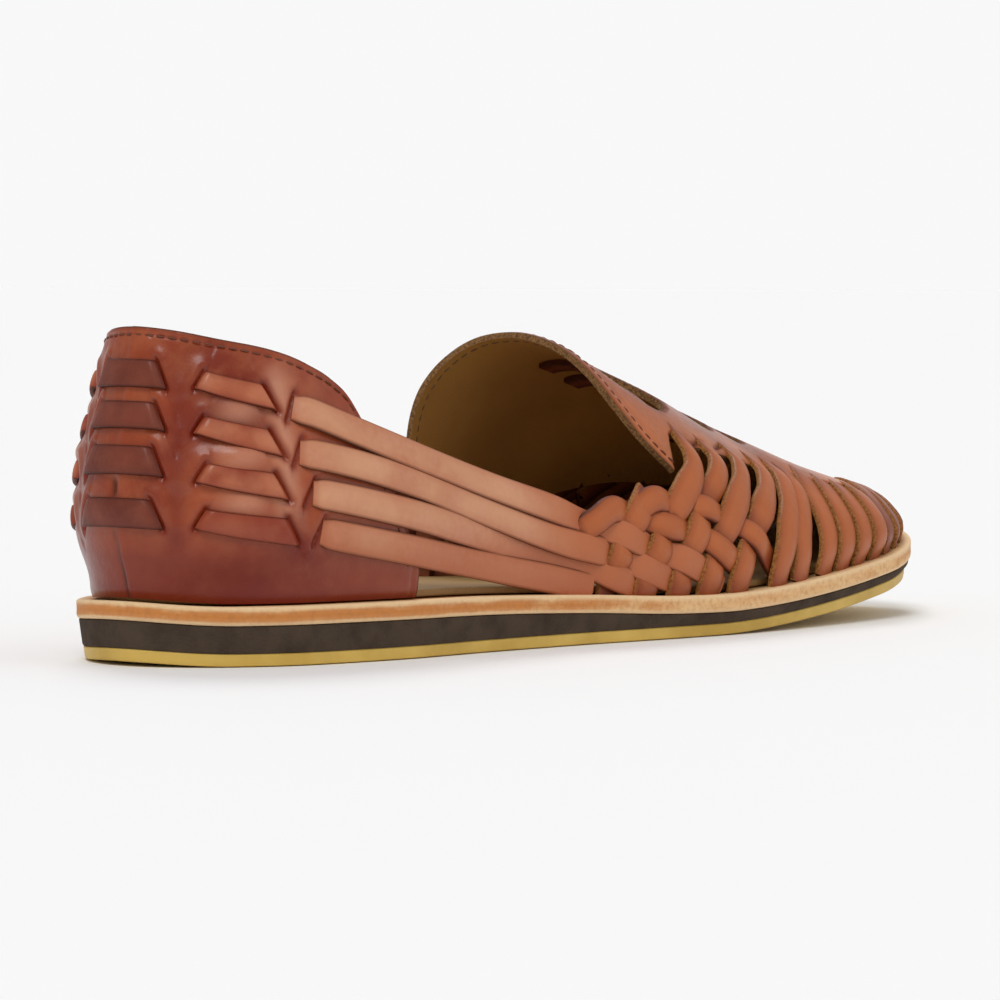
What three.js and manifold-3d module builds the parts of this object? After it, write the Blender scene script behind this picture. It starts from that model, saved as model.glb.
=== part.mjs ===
// Woven leather huarache of the low d'Orsay form, for the right foot.
// Millimetres, +X towards the toe, +Y towards the inner side, +Z up, the sole on Z = 0.
import * as THREE from 'three';
import { mergeVertices } from 'three/addons/utils/BufferGeometryUtils.js';
import Module from 'manifold-3d';

const wasm = await Module();
wasm.setup();

// Driving dimensions
const SOLE_LENGTH = 292;
const WELT = 3.6; // the leather midsole stands out this far past the upper
const RUBBER = 2.9;
const MIDSOLE_LEATHER = 4.4;
const INSOLE_LEATHER = 2.1;
const WALL = 2.0; // heel quarter and vamp, with their lining
const STRIP = 1.5; // straps and woven strips
const STRAP_WIDTH = 6.2;
const GAP = 0.3;
const TOE_SPRING = 12.9;
const SPRING_START = 170; // the sole is flat on the floor up to here
const HEEL_CAP = 34; // length over which the sole's end is rounded
const TOE_CAP = 46;
const TOE_SHIFT = 3; // the toe's point lies this far to the inner side
const RIDGE_START = 16;
const RIDGE_END = 281;

// Half widths of the sole on each side of the centre line
const soleEdge = [
  { x: 0, outer: 27, inner: 29 },
  { x: 18, outer: 31, inner: 32.5 },
  { x: 35, outer: 35, inner: 34.5 },
  { x: 58, outer: 38.6, inner: 35 },
  { x: 88, outer: 39, inner: 33 },
  { x: 123, outer: 41, inner: 32.5 },
  { x: 152, outer: 44.5, inner: 37 },
  { x: 181, outer: 46.8, inner: 45 },
  { x: 204, outer: 45.8, inner: 49 },
  { x: 228, outer: 43.4, inner: 49 },
  { x: 251, outer: 39.4, inner: 45 },
  { x: 272, outer: 35.2, inner: 39.5 },
  { x: 292, outer: 31, inner: 33 },
];

const wedgeThickness = [
  { x: 0, thick: 6.5 },
  { x: 45, thick: 6.5 },
  { x: 90, thick: 6.0 },
  { x: 125, thick: 4.7 },
  { x: 152, thick: 3.3 },
  { x: 190, thick: 2.8 },
  { x: 240, thick: 2.5 },
  { x: 292, thick: 2.0 },
];

// The last's top line: cone, instep, throat, vamp and toe
const ridge = [
  { x: 16, z: 96, y: 0 },
  { x: 60, z: 95, y: 0 },
  { x: 110, z: 88, y: 2.5 },
  { x: 150, z: 75.5, y: 5 },
  { x: 170, z: 68.6, y: 4.7 },
  { x: 185, z: 62.6, y: 4.4 },
  { x: 203, z: 56, y: 4 },
  { x: 220, z: 49.3, y: 3.8 },
  { x: 236, z: 42, y: 3.6 },
  { x: 255, z: 36.3, y: 3.4 },
  { x: 271, z: 33.4, y: 3.2 },
  { x: 281, z: 32, y: 3 },
];

// Fullness of the sections: a higher power is boxier, a lower one is more pointed.
// The bulge is how far the side swells past the feather line.
const fullness = [
  { x: 0, outer: 3.0, inner: 3.0, outerBulge: 4.2, innerBulge: 4.2 },
  { x: 60, outer: 2.6, inner: 2.6, outerBulge: 2.4, innerBulge: 2.4 },
  { x: 110, outer: 2.2, inner: 2.6, outerBulge: 2.0, innerBulge: 2.0 },
  { x: 150, outer: 1.9, inner: 2.5, outerBulge: 2.4, innerBulge: 2.0 },
  { x: 185, outer: 1.75, inner: 2.2, outerBulge: 2.4, innerBulge: 2.1 },
  { x: 220, outer: 1.7, inner: 2.1, outerBulge: 2.4, innerBulge: 2.2 },
  { x: 245, outer: 2.3, inner: 2.4, outerBulge: 2.1, innerBulge: 2.0 },
  { x: 262, outer: 2.7, inner: 2.8, outerBulge: 1.8, innerBulge: 1.8 },
  { x: 292, outer: 3.2, inner: 3.2, outerBulge: 1.5, innerBulge: 1.5 },
];

// Share of the bulge at each share of the section's height
const bulgeProfile = [
  { height: 0, share: 0 },
  { height: 0.05, share: 0.15 },
  { height: 0.15, share: 0.72 },
  { height: 0.26, share: 1 },
  { height: 0.36, share: 0.9 },
  { height: 0.56, share: 0.35 },
  { height: 0.8, share: 0.05 },
  { height: 1, share: 0 },
];

// Top edge of the heel quarter: height above the midsole at each station
const collar = [
  { x: 0, up: 63 },
  { x: 4, up: 62.7 },
  { x: 12, up: 61.5 },
  { x: 24, up: 58.8 },
  { x: 33, up: 55.6 },
  { x: 40, up: 52 },
  { x: 44.5, up: 48 },
  { x: 47.7, up: 42.4 },
  { x: 53, up: 31 },
  { x: 59, up: 18 },
  { x: 63.4, up: 9 },
  { x: 65.3, up: 6.5 },
];

// Back edge of the vamp, from the feather side up to the peak of the throat
const throat = [
  { rise: 0.25, outer: 170, inner: 133.5 },
  { rise: 0.37, outer: 162.5, inner: 132.6 },
  { rise: 0.44, outer: 156, inner: 133.3 },
  { rise: 0.54, outer: 151.8, inner: 136.1 },
  { rise: 0.66, outer: 150.8, inner: 140.2 },
  { rise: 0.8, outer: 150.6, inner: 144.2 },
  { rise: 0.9, outer: 149.5, inner: 146.5 },
  { rise: 1, outer: 147.8, inner: 147.8 },
];
const THROAT_CORNER = { outer: 163, inner: 133 }; // stations of the vamp's two back corners

// Lower edge of the vamp, where the woven strips come out; it lies lower on the inner side
const vampEdge = [
  { turn: 80, outer: 0.3, inner: 0.26 },
  { turn: 96.3, outer: 0.345, inner: 0.25 },
  { turn: 99, outer: 0.485, inner: 0.25 },
  { turn: 104, outer: 0.49, inner: 0.25 },
  { turn: 112, outer: 0.505, inner: 0.27 },
  { turn: 118, outer: 0.51, inner: 0.34 },
  { turn: 126, outer: 0.49, inner: 0.44 },
  { turn: 134, outer: 0.52, inner: 0.5 },
  { turn: 146, outer: 0.56, inner: 0.56 },
  { turn: 180, outer: 0.6, inner: 0.6 },
];

// Lens-shaped openings along the vamp's crest, a little to the outer side of the top line
const crestSlots = [
  { x: 172, y: -10, length: 32, width: 22 },
  { x: 199, y: -9.5, length: 17, width: 14 },
  { x: 214, y: -11, length: 12, width: 9 },
];

// Bands round the back of the heel, and tabs on its sides, by their edges
const bands = [
  { high: 55.4, low: 49.0 },
  { high: 45.8, low: 39.5 },
  { high: 35.7, low: 29.0 },
  { high: 23.7, low: 17.0 },
];
const tabs = [
  { back: 8.9, front: 20.7, highBack: 53.8, highFront: 50.8, lowBack: 49.6, lowFront: 44.6 },
  { back: 8.7, front: 21.3, highBack: 43.5, highFront: 40.5, lowBack: 39.4, lowFront: 34.0 },
  { back: 9.0, front: 21.9, highBack: 32.8, highFront: 30.6, lowBack: 28.3, lowFront: 24.2 },
  { back: 8.9, front: 24.4, highBack: 22.3, highFront: 20.2, lowBack: 17.7, lowFront: 13.6 },
];

// How high a strip's middle lies over the last's surface
const RAISED = 0.55; // laid on the quarter
const OVER = 0.35;
const UNDER = -0.95;
const TUCKED = -1.5; // behind the vamp
const SLIT = -0.5; // where a strap dives into the quarter

// The four long straps of a side, running on through the weave as its lower rows
const longStraps = [
  [
    { x: 27.6, up: 45.6, lift: SLIT },
    { x: 32, up: 44.1, lift: RAISED },
    { x: 45, up: 39.5, lift: RAISED },
    { x: 64, up: 33.5, lift: 0.2 },
    { x: 90, up: 26.3, lift: 0 },
    { x: 112, up: 20.8, lift: 0.2 },
    { x: 125, up: 17.6, lift: UNDER },
    { x: 137, up: 14.5, lift: OVER },
    { x: 148, up: 11.2, lift: UNDER },
    { x: 158, up: 8.5, lift: OVER },
    { x: 167, up: 4.5, lift: UNDER },
    { x: 172, up: 1.4, lift: UNDER },
  ],
  [
    { x: 28.2, up: 35.3, lift: SLIT },
    { x: 33, up: 34.3, lift: RAISED },
    { x: 46, up: 31.5, lift: RAISED },
    { x: 65, up: 26.6, lift: 0.2 },
    { x: 89, up: 19.7, lift: 0 },
    { x: 114, up: 13.2, lift: 0.2 },
    { x: 126, up: 11.1, lift: OVER },
    { x: 134.5, up: 9.6, lift: UNDER },
    { x: 145, up: 6.2, lift: OVER },
    { x: 156, up: 2.9, lift: UNDER },
    { x: 160, up: 1.4, lift: UNDER },
  ],
  [
    { x: 31.0, up: 25.9, lift: SLIT },
    { x: 36, up: 25.0, lift: RAISED },
    { x: 58.5, up: 20.6, lift: RAISED },
    { x: 84, up: 15.0, lift: 0 },
    { x: 105, up: 10.6, lift: -0.9 },
    { x: 124, up: 7.2, lift: -0.6 },
    { x: 134, up: 4.3, lift: OVER },
    { x: 144, up: 1.8, lift: UNDER },
  ],
  [
    { x: 33.2, up: 16.9, lift: SLIT },
    { x: 38, up: 15.9, lift: RAISED },
    { x: 58.6, up: 12.3, lift: RAISED },
    { x: 80, up: 8.7, lift: 0.2 },
    { x: 96, up: 6.2, lift: 0.2 },
    { x: 112, up: 4.0, lift: 0.2 },
    { x: 126, up: 1.9, lift: 0 },
  ],
];

// The two rows above them, which begin at a fold on the weave's top edge
const weaveRows = [
  [
    { x: 137, up: 18.0, lift: UNDER },
    { x: 147.5, up: 23.3, lift: 1.0 },
    { x: 158.2, up: 22.4, lift: UNDER },
    { x: 167.8, up: 21.2, lift: OVER },
    { x: 177, up: 18.0, lift: UNDER },
    { x: 184.8, up: 13.0, lift: OVER },
    { x: 191, up: 7.5, lift: UNDER },
    { x: 196, up: 3.0, lift: UNDER },
  ],
  [
    { x: 121, up: 14.8, lift: UNDER },
    { x: 126, up: 17.8, lift: 1.0 },
    { x: 133, up: 20.8, lift: OVER },
    { x: 141.5, up: 19.6, lift: UNDER },
    { x: 151.7, up: 17.0, lift: OVER },
    { x: 162, up: 15.6, lift: UNDER },
    { x: 170, up: 11.2, lift: OVER },
    { x: 178.5, up: 5.8, lift: UNDER },
    { x: 182, up: 2.2, lift: UNDER },
  ],
];

// The strips that come down from the vamp across those rows
const COLUMN_WIDTH = 8.4;
const weaveColumns = [
  [
    { x: 148, up: 25.4, lift: UNDER },
    { x: 141.5, up: 19.6, lift: OVER },
    { x: 137, up: 14.5, lift: UNDER },
    { x: 134.5, up: 9.6, lift: OVER },
    { x: 133, up: 4.4, lift: UNDER },
    { x: 132, up: GAP, lift: UNDER },
  ],
  [
    { x: 176, up: 42, lift: TUCKED },
    { x: 174.5, up: 38.5, lift: -0.4 },
    { x: 173, up: 34, lift: 0.9 },
    { x: 169.5, up: 30, lift: 0.9 },
    { x: 164, up: 26.6, lift: 0.8 },
    { x: 158, up: 22.6, lift: OVER },
    { x: 151.9, up: 17, lift: UNDER },
    { x: 148, up: 11.2, lift: OVER },
    { x: 145.2, up: 6.2, lift: UNDER },
    { x: 143.8, up: 2.2, lift: OVER },
    { x: 143.4, up: GAP, lift: OVER },
  ],
  [
    { x: 186, up: 39, lift: TUCKED },
    { x: 185.6, up: 35.8, lift: -0.4 },
    { x: 184.8, up: 31.8, lift: 0.8 },
    { x: 179, up: 27.9, lift: 0.6 },
    { x: 168.5, up: 21.8, lift: UNDER },
    { x: 162.5, up: 15.4, lift: OVER },
    { x: 158.2, up: 8.5, lift: UNDER },
    { x: 155.8, up: 2.9, lift: OVER },
    { x: 155.2, up: GAP, lift: OVER },
  ],
  [
    { x: 199.5, up: 37, lift: TUCKED },
    { x: 198.8, up: 33.8, lift: -0.4 },
    { x: 197, up: 29.8, lift: 0.8 },
    { x: 190, up: 25.8, lift: 0.7 },
    { x: 183, up: 22.2, lift: 0.6 },
    { x: 177, up: 18.4, lift: OVER },
    { x: 170.3, up: 11.2, lift: UNDER },
    { x: 167, up: 4.5, lift: OVER },
    { x: 166, up: GAP, lift: OVER },
  ],
  [
    { x: 211.5, up: 33.5, lift: TUCKED },
    { x: 210.6, up: 30.3, lift: -0.4 },
    { x: 208.6, up: 26.3, lift: 0.8 },
    { x: 201.5, up: 22.6, lift: 0.6 },
    { x: 193.5, up: 19, lift: 0.3 },
    { x: 184.8, up: 13, lift: UNDER },
    { x: 178.8, up: 5.8, lift: OVER },
    { x: 177.6, up: GAP, lift: OVER },
  ],
  [
    { x: 220.3, up: 30, lift: TUCKED },
    { x: 219, up: 27.3, lift: -0.4 },
    { x: 216, up: 23.3, lift: 0.6 },
    { x: 208, up: 17.8, lift: 0.6 },
    { x: 200.5, up: 12.5, lift: 0.6 },
    { x: 195.8, up: 6, lift: 0.6 },
    { x: 194.8, up: GAP, lift: 0.4 },
  ],
  [
    { x: 224.5, up: 27.6, lift: TUCKED },
    { x: 223, up: 25, lift: -0.4 },
    { x: 219, up: 20.6, lift: 0.3 },
    { x: 212, up: 15.2, lift: 0.2 },
    { x: 207, up: 10, lift: 0 },
    { x: 204.8, up: GAP, lift: 0 },
  ],
];

// Toe strips, evenly spaced along the feather line from this station to the toe's point
const TOE_STRIPS_FROM = 216.5;
const TOE_STRIP_COUNT = 10; // on each side, and one more at the point
const TOE_STRIP_GAP = 0.12; // half the groove between two strips, in degrees
const TOE_STRIP_STEP = 0.25; // a strip's back edge stands out and its front edge lies low
const STRIPS_OVER_VAMP = 6; // on each side of the point these lie over the vamp's edge
const TOE_STRIP_LEAN = 0.1; // share of the way to the point that a strip has leant at a rise of a half

// Strips that cross behind the first crest opening, slanting this far along the shoe
const crestStrips = [
  { x: 166, slant: 6 },
  { x: 177, slant: 6 },
];

const clamp = THREE.MathUtils.clamp;
const lerp = THREE.MathUtils.lerp;

// Smooth curve through one column of a table, read at a value of its key column
function smooth(table, key, column, at) {
  const last = table.length - 1;
  let i = 0;
  while (i < last - 1 && at > table[i + 1][key]) i += 1;
  const width = (n) => table[n + 1][key] - table[n][key];
  const slope = (n) => (table[n + 1][column] - table[n][column]) / width(n);
  const tangent = (n) => {
    if (n === 0) return slope(0);
    if (n === last) return slope(last - 1);
    return (slope(n - 1) * width(n) + slope(n) * width(n - 1)) / (width(n) + width(n - 1));
  };
  const t = clamp((at - table[i][key]) / width(i), 0, 1);
  const a = 2 * t ** 3 - 3 * t ** 2 + 1;
  const b = t ** 3 - 2 * t ** 2 + t;
  const c = t ** 3 - t ** 2;
  const bend = width(i) * (b * tangent(i) + c * tangent(i + 1));
  return a * table[i][column] + (1 - a) * table[i + 1][column] + bend;
}

// A place round the shoe is a turn in degrees: 0 at the heel, 180 at the toe,
// negative on the outer side. Its station is its distance from the heel along X.
const station = (turn) => (SOLE_LENGTH / 2) * (1 - Math.cos(THREE.MathUtils.degToRad(turn)));
const turnAt = (x) => THREE.MathUtils.radToDeg(Math.acos(1 - (2 * x) / SOLE_LENGTH));
const wrap = (turn) => ((((turn + 180) % 360) + 360) % 360) - 180;

function roundedEnds(x) {
  const heel = clamp((HEEL_CAP - x) / HEEL_CAP, 0, 1);
  const toe = clamp((x - SOLE_LENGTH + TOE_CAP) / TOE_CAP, 0, 1);
  return (1 - heel ** 2.1) ** (1 / 2.1) * Math.sqrt(1 - toe ** 2);
}

function edgePoint(turn) {
  const t = wrap(turn);
  const x = station(t);
  const middle = TOE_SHIFT * clamp((x - 200) / (SOLE_LENGTH - 200), 0, 1) ** 2;
  const side = t < 0 ? -1 : 1;
  const half = smooth(soleEdge, 'x', t < 0 ? 'outer' : 'inner', x) - side * middle;
  return new THREE.Vector2(x, middle + side * half * roundedEnds(x));
}

// The sole's edge moved inwards, and the outward direction there
function plan(turn, inset) {
  const along = edgePoint(turn + 0.25).sub(edgePoint(turn - 0.25)).normalize();
  const outward = new THREE.Vector2(-along.y, along.x);
  const point = edgePoint(turn);
  const core = new THREE.Vector2(clamp(point.x, 30, SOLE_LENGTH - 35), 0);
  if (outward.dot(point.clone().sub(core)) < 0) outward.negate();
  return { point: point.addScaledVector(outward, -inset), outward };
}

function floorClearance(x) {
  const toe = clamp((x - SPRING_START) / (SOLE_LENGTH - SPRING_START), 0, 1);
  const heel = clamp((16 - x) / 16, 0, 1);
  return TOE_SPRING * toe ** 1.5 + 1.3 * heel ** 2;
}
const rubberTop = (x) => floorClearance(x) + RUBBER;
const wedgeTop = (x) => rubberTop(x) + smooth(wedgeThickness, 'x', 'thick', x);
const deck = (x) => wedgeTop(x) + MIDSOLE_LEATHER;

// The last's surface. Rise goes from 0 at the feather line to 1 at the top line,
// and past it down the other side.
function last(turn, rise) {
  if (rise > 1) return last(-turn, 2 - rise);
  if (rise < 0) return last(turn, 0);
  const t = wrap(turn);
  const x = station(t);
  const side = t < 0 ? 'outer' : 'inner';
  const foot = plan(t, WELT);
  const topX = lerp(RIDGE_START, RIDGE_END, x / SOLE_LENGTH);
  const top = new THREE.Vector2(topX, smooth(ridge, 'x', 'y', topX));
  const power = smooth(fullness, 'x', side, x);
  const angle = (rise * Math.PI) / 2;
  const height = Math.sin(angle) ** (2 / power);
  const spread = Math.max(Math.cos(angle), 0) ** (2 / power);
  const bulge = smooth(fullness, 'x', side + 'Bulge', x) * smooth(bulgeProfile, 'height', 'share', height);
  const flat = top.lerp(foot.point, spread).addScaledVector(foot.outward, bulge);
  return new THREE.Vector3(flat.x, flat.y, lerp(deck(x), smooth(ridge, 'x', 'z', topX), height));
}

// The rise at a height above the midsole
function riseAt(turn, up) {
  const x = station(turn);
  const topX = lerp(RIDGE_START, RIDGE_END, x / SOLE_LENGTH);
  const height = clamp(up / (smooth(ridge, 'x', 'z', topX) - deck(x)), 0, 1);
  const power = smooth(fullness, 'x', turn < 0 ? 'outer' : 'inner', x);
  return (Math.asin(height ** (power / 2)) * 2) / Math.PI;
}

function normal(turn, rise) {
  if (Math.abs(wrap(turn)) > 178) {
    return normal(178, rise).add(normal(-178, rise)).normalize();
  }
  const along = last(turn + 0.5, rise).sub(last(turn - 0.5, rise));
  const upwards = last(turn, rise + 0.006).sub(last(turn, rise - 0.006));
  return upwards.cross(along).normalize();
}

const lifted = (turn, rise, lift) => last(turn, rise).addScaledVector(normal(turn, rise), lift);

// Mesh from corner points and faces of three or four corners
function mesh(points, faces) {
  const geometry = new THREE.BufferGeometry();
  const position = points.flatMap((p) => [p.x, p.y, p.z]);
  geometry.setAttribute('position', new THREE.Float32BufferAttribute(position, 3));
  const index = faces.flatMap((f) => (f.length === 4 ? [f[0], f[1], f[2], f[0], f[2], f[3]] : f));
  geometry.setIndex(index);
  return mergeVertices(geometry, 1e-3);
}

// Faces between two like grids, outer and inner, of rows going up by columns of rising turn
function skin(rows, columns) {
  const outer = (r, c) => r * columns + c;
  const inner = (r, c) => (rows + r) * columns + c;
  const [top, end] = [rows - 1, columns - 1];
  const faces = [];
  for (let r = 0; r < top; r += 1) {
    for (let c = 0; c < end; c += 1) {
      faces.push([outer(r, c), outer(r + 1, c), outer(r + 1, c + 1), outer(r, c + 1)]);
      faces.push([inner(r, c), inner(r, c + 1), inner(r + 1, c + 1), inner(r + 1, c)]);
    }
  }
  for (let c = 0; c < end; c += 1) {
    faces.push([outer(0, c), outer(0, c + 1), inner(0, c + 1), inner(0, c)]);
    faces.push([outer(top, c), inner(top, c), inner(top, c + 1), outer(top, c + 1)]);
  }
  for (let r = 0; r < top; r += 1) {
    faces.push([outer(r, 0), inner(r, 0), inner(r + 1, 0), outer(r + 1, 0)]);
    faces.push([outer(r, end), outer(r + 1, end), inner(r + 1, end), inner(r, end)]);
  }
  return faces;
}

function solid(geometry) {
  const index = geometry.index.array;
  const position = geometry.attributes.position.array;
  const triangles = [];
  for (let i = 0; i < index.length; i += 3) {
    const [a, b, c] = [index[i], index[i + 1], index[i + 2]];
    if (a !== b && b !== c && c !== a) triangles.push(a, b, c);
  }
  const input = { numProp: 3, vertProperties: new Float32Array(position), triVerts: new Uint32Array(triangles) };
  return new wasm.Manifold(new wasm.Mesh(input));
}

// The heel quarter, from its outer front edge round the heel to its inner one
function quarter() {
  const columns = 27;
  const rows = 5;
  const front = turnAt(collar.at(-1).x);
  const points = [];
  for (const lift of [0, -WALL]) {
    for (let r = 0; r < rows; r += 1) {
      for (let c = 0; c < columns; c += 1) {
        const share = (2 * c) / (columns - 1) - 1;
        const turn = front * Math.sign(share) * Math.abs(share) ** 0.8;
        const up = smooth(collar, 'x', 'up', station(turn)) * (r / (rows - 1));
        points.push(lifted(turn, riseAt(turn, up), lift));
      }
    }
  }
  return solid(mesh(points, skin(rows, columns)));
}

// The vamp, from the throat to the toe's point, over the top line
function vamp() {
  const columns = 14;
  const half = 5;
  const rows = 2 * half + 1;
  const points = [];
  for (const lift of [0, -WALL]) {
    for (let r = 0; r < rows; r += 1) {
      for (let c = 0; c < columns; c += 1) {
        const along = 1 - c / (columns - 1);
        const side = r < half ? -1 : 1;
        const share = 1 - Math.abs(r - half) / half;
        const sideName = side < 0 ? 'outer' : 'inner';
        const edgeTurn = lerp(turnAt(THROAT_CORNER[sideName]), 180, along);
        const rise = lerp(smooth(vampEdge, 'turn', sideName, edgeTurn), 1, share);
        const start = turnAt(smooth(throat, 'rise', sideName, rise));
        points.push(lifted(side * lerp(start, 180, along), rise, lift));
      }
    }
  }
  let whole = solid(mesh(points, skin(rows, columns)));
  for (const slot of crestSlots) whole = whole.subtract(crestCutter(slot));
  return whole;
}

// Upright lens-shaped block through the vamp's crest
function crestCutter({ x, y, length, width }) {
  const outline = new THREE.Shape();
  outline.moveTo(-length / 2, 0);
  outline.quadraticCurveTo(0, -width, length / 2, 0);
  outline.quadraticCurveTo(0, width, -length / 2, 0);
  const block = new THREE.ExtrudeGeometry(outline, { depth: 32, bevelEnabled: false, curveSegments: 7 });
  block.translate(x, y, smooth(ridge, 'x', 'z', x) - 20);
  block.deleteAttribute('normal');
  block.deleteAttribute('uv');
  return solid(mergeVertices(block, 1e-3));
}

// A strip through cross lines, each with two ends on the last and a lift
function strip(lines) {
  const points = [];
  for (const lift of [STRIP / 2, -STRIP / 2]) {
    for (const end of ['low', 'high']) {
      for (const line of lines) {
        points.push(lifted(line[end].turn, line[end].rise, line.lift + lift));
      }
    }
  }
  return solid(mesh(points, skin(2, lines.length)));
}

// The two ends of a strip's cross line, square to its route
function crossLine(at, before, after, width) {
  const here = last(at.turn, at.rise);
  const heading = last(after.turn, after.rise).sub(last(before.turn, before.rise));
  const across = heading.cross(normal(at.turn, at.rise)).normalize();
  const perTurn = last(at.turn + 0.2, at.rise).sub(here).multiplyScalar(5);
  const perRise = last(at.turn, at.rise + 0.004).sub(here).multiplyScalar(250);
  const [tt, tr, rr] = [perTurn.dot(perTurn), perTurn.dot(perRise), perRise.dot(perRise)];
  const [a, b] = [across.dot(perTurn), across.dot(perRise)];
  const scale = width / 2 / (tt * rr - tr * tr);
  const turn = scale * (a * rr - b * tr);
  const rise = scale * (b * tt - a * tr);
  return {
    low: { turn: at.turn - turn, rise: Math.max(at.rise - rise, 0) },
    high: { turn: at.turn + turn, rise: Math.max(at.rise + rise, 0) },
    lift: at.lift,
  };
}

// A strip along its middle line, given as turns, rises and lifts
function route(places, width, perSpan) {
  const table = places.map((place, n) => ({ n, ...place }));
  const read = (n) => ({
    turn: smooth(table, 'n', 'turn', n),
    rise: smooth(table, 'n', 'rise', n),
    lift: smooth(table, 'n', 'lift', n),
  });
  const end = places.length - 1;
  const lines = [];
  for (let i = 0; i <= end * perSpan; i += 1) {
    const n = i / perSpan;
    lines.push(crossLine(read(n), read(Math.max(n - 0.1, 0)), read(Math.min(n + 0.1, end)), width));
  }
  return strip(lines);
}

const edgeRise = (turn) => smooth(vampEdge, 'turn', wrap(turn) < 0 ? 'outer' : 'inner', Math.abs(wrap(turn)));

// Places given by station and height, on one side of the shoe. On the inner side the vamp
// comes lower, so a strip ends a little above its edge, tucked behind it.
function onSide(side, places) {
  const here = places.map(({ x, up, lift }) => {
    const turn = side * turnAt(x);
    return { turn, rise: riseAt(turn, up), lift };
  });
  if (side < 0) return here;
  const above = ({ turn, rise }) => rise - edgeRise(turn);
  const kept = here.filter((place, n) => above(place) < 0.02 || above(here[n + 1]) < 0.02);
  return kept.map((place) => (above(place) < 0.02 ? place : { ...place, lift: TUCKED }));
}

// A raised piece of strap between two slits of the quarter, its lower edge the longer one
function tab(from, to, slant) {
  const steps = 3;
  const lines = [];
  for (let i = 0; i <= steps; i += 1) {
    const share = i / steps;
    const turn = lerp(from.turn, to.turn, share);
    const lowTurn = turn + slant * (2 * share - 1);
    lines.push({
      low: { turn: lowTurn, rise: riseAt(lowTurn, lerp(from.low, to.low, share)) },
      high: { turn, rise: riseAt(turn, lerp(from.high, to.high, share)) },
      lift: i === 0 || i === steps ? SLIT : RAISED,
    });
  }
  return strip(lines);
}

function quarterStraps() {
  const pieces = bands.map(({ high, low }) => tab({ turn: -8.8, high, low }, { turn: 8.8, high, low }, 2.8));
  for (const row of tabs) {
    const back = { turn: turnAt(row.back), high: row.highBack, low: row.lowBack };
    const front = { turn: turnAt(row.front), high: row.highFront, low: row.lowFront };
    pieces.push(tab(back, front, 2.2));
    pieces.push(tab({ ...front, turn: -front.turn }, { ...back, turn: -back.turn }, 2.2));
  }
  return pieces;
}

// Turns of the toe strips on one side, found by walking along the feather line
function toeTurns(side) {
  const from = turnAt(TOE_STRIPS_FROM);
  const steps = 200;
  const walk = [{ turn: from, run: 0 }];
  for (let i = 1; i <= steps; i += 1) {
    const turn = lerp(from, 180, i / steps);
    const stride = plan(side * turn, WELT).point.distanceTo(plan(side * walk[i - 1].turn, WELT).point);
    walk.push({ turn, run: walk[i - 1].run + stride });
  }
  const pitch = walk[steps].run / TOE_STRIP_COUNT;
  return Array.from({ length: TOE_STRIP_COUNT }, (_, k) => side * smooth(walk, 'run', 'turn', k * pitch));
}

// The toe strips as one wall, each with its back edge raised over the strip behind it
function toeWall() {
  const behind = toeTurns(1).map((turn) => turn - 360);
  const centres = [...behind, -180, ...toeTurns(-1).reverse()];
  const columns = centres.flatMap((centre, n) => {
    const low = (centre + (centres[n - 1] ?? 2 * centre - centres[n + 1])) / 2 + TOE_STRIP_GAP;
    const high = (centre + (centres[n + 1] ?? 2 * centre - centres[n - 1])) / 2 - TOE_STRIP_GAP;
    const isOver = Math.abs(n - TOE_STRIP_COUNT) <= STRIPS_OVER_VAMP;
    return [
      { turn: low, isOver, step: n <= TOE_STRIP_COUNT ? TOE_STRIP_STEP : -TOE_STRIP_STEP },
      { turn: high, isOver, step: n >= TOE_STRIP_COUNT ? TOE_STRIP_STEP : -TOE_STRIP_STEP },
    ];
  });
  const points = [];
  for (const face of [STRIP / 2, -STRIP / 2]) {
    for (let row = 0; row < 5; row += 1) {
      for (const { turn, isOver, step } of columns) {
        const { rise, lift } = toeRow(row, edgeRise(turn), isOver);
        const lean = TOE_STRIP_LEAN * (rise / 0.5) ** 1.7;
        points.push(lifted(lerp(turn, -180, lean), rise, lift + face + step));
      }
    }
  }
  return solid(mesh(points, skin(5, columns.length)));
}

// Rise and lift along a toe strip, from the feather line to its end over or behind the vamp
function toeRow(row, edge, isOver) {
  const over = [
    { rise: 0, lift: 0.1 },
    { rise: 0.2, lift: 0.1 },
    { rise: edge, lift: RAISED },
    { rise: edge + 0.14, lift: RAISED },
    { rise: edge + 0.19, lift: SLIT },
  ];
  const behind = [
    { rise: 0, lift: 0.1 },
    { rise: 0.14, lift: 0.1 },
    { rise: 0.28, lift: 0.1 },
    { rise: edge - 0.05, lift: -0.2 },
    { rise: edge + 0.08, lift: TUCKED },
  ];
  return (isOver ? over : behind)[row];
}

function crestStraps() {
  return crestStrips.map(({ x, slant }) => {
    const places = [0.52, 0.66, 0.8, 0.95, 1.1].map((rise, k) => {
      const turn = -turnAt(x + (slant * (k - 2)) / 4);
      return { turn, rise, lift: -WALL - 0.6 };
    });
    return route(places, STRAP_WIDTH, 1);
  });
}

function weave() {
  const pieces = [];
  for (const side of [-1, 1]) {
    for (const row of [...longStraps, ...weaveRows]) {
      pieces.push(route(onSide(side, row), STRAP_WIDTH, 1));
    }
    for (const column of weaveColumns) {
      pieces.push(route(onSide(side, column), COLUMN_WIDTH, 1));
    }
  }
  return pieces;
}

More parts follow.
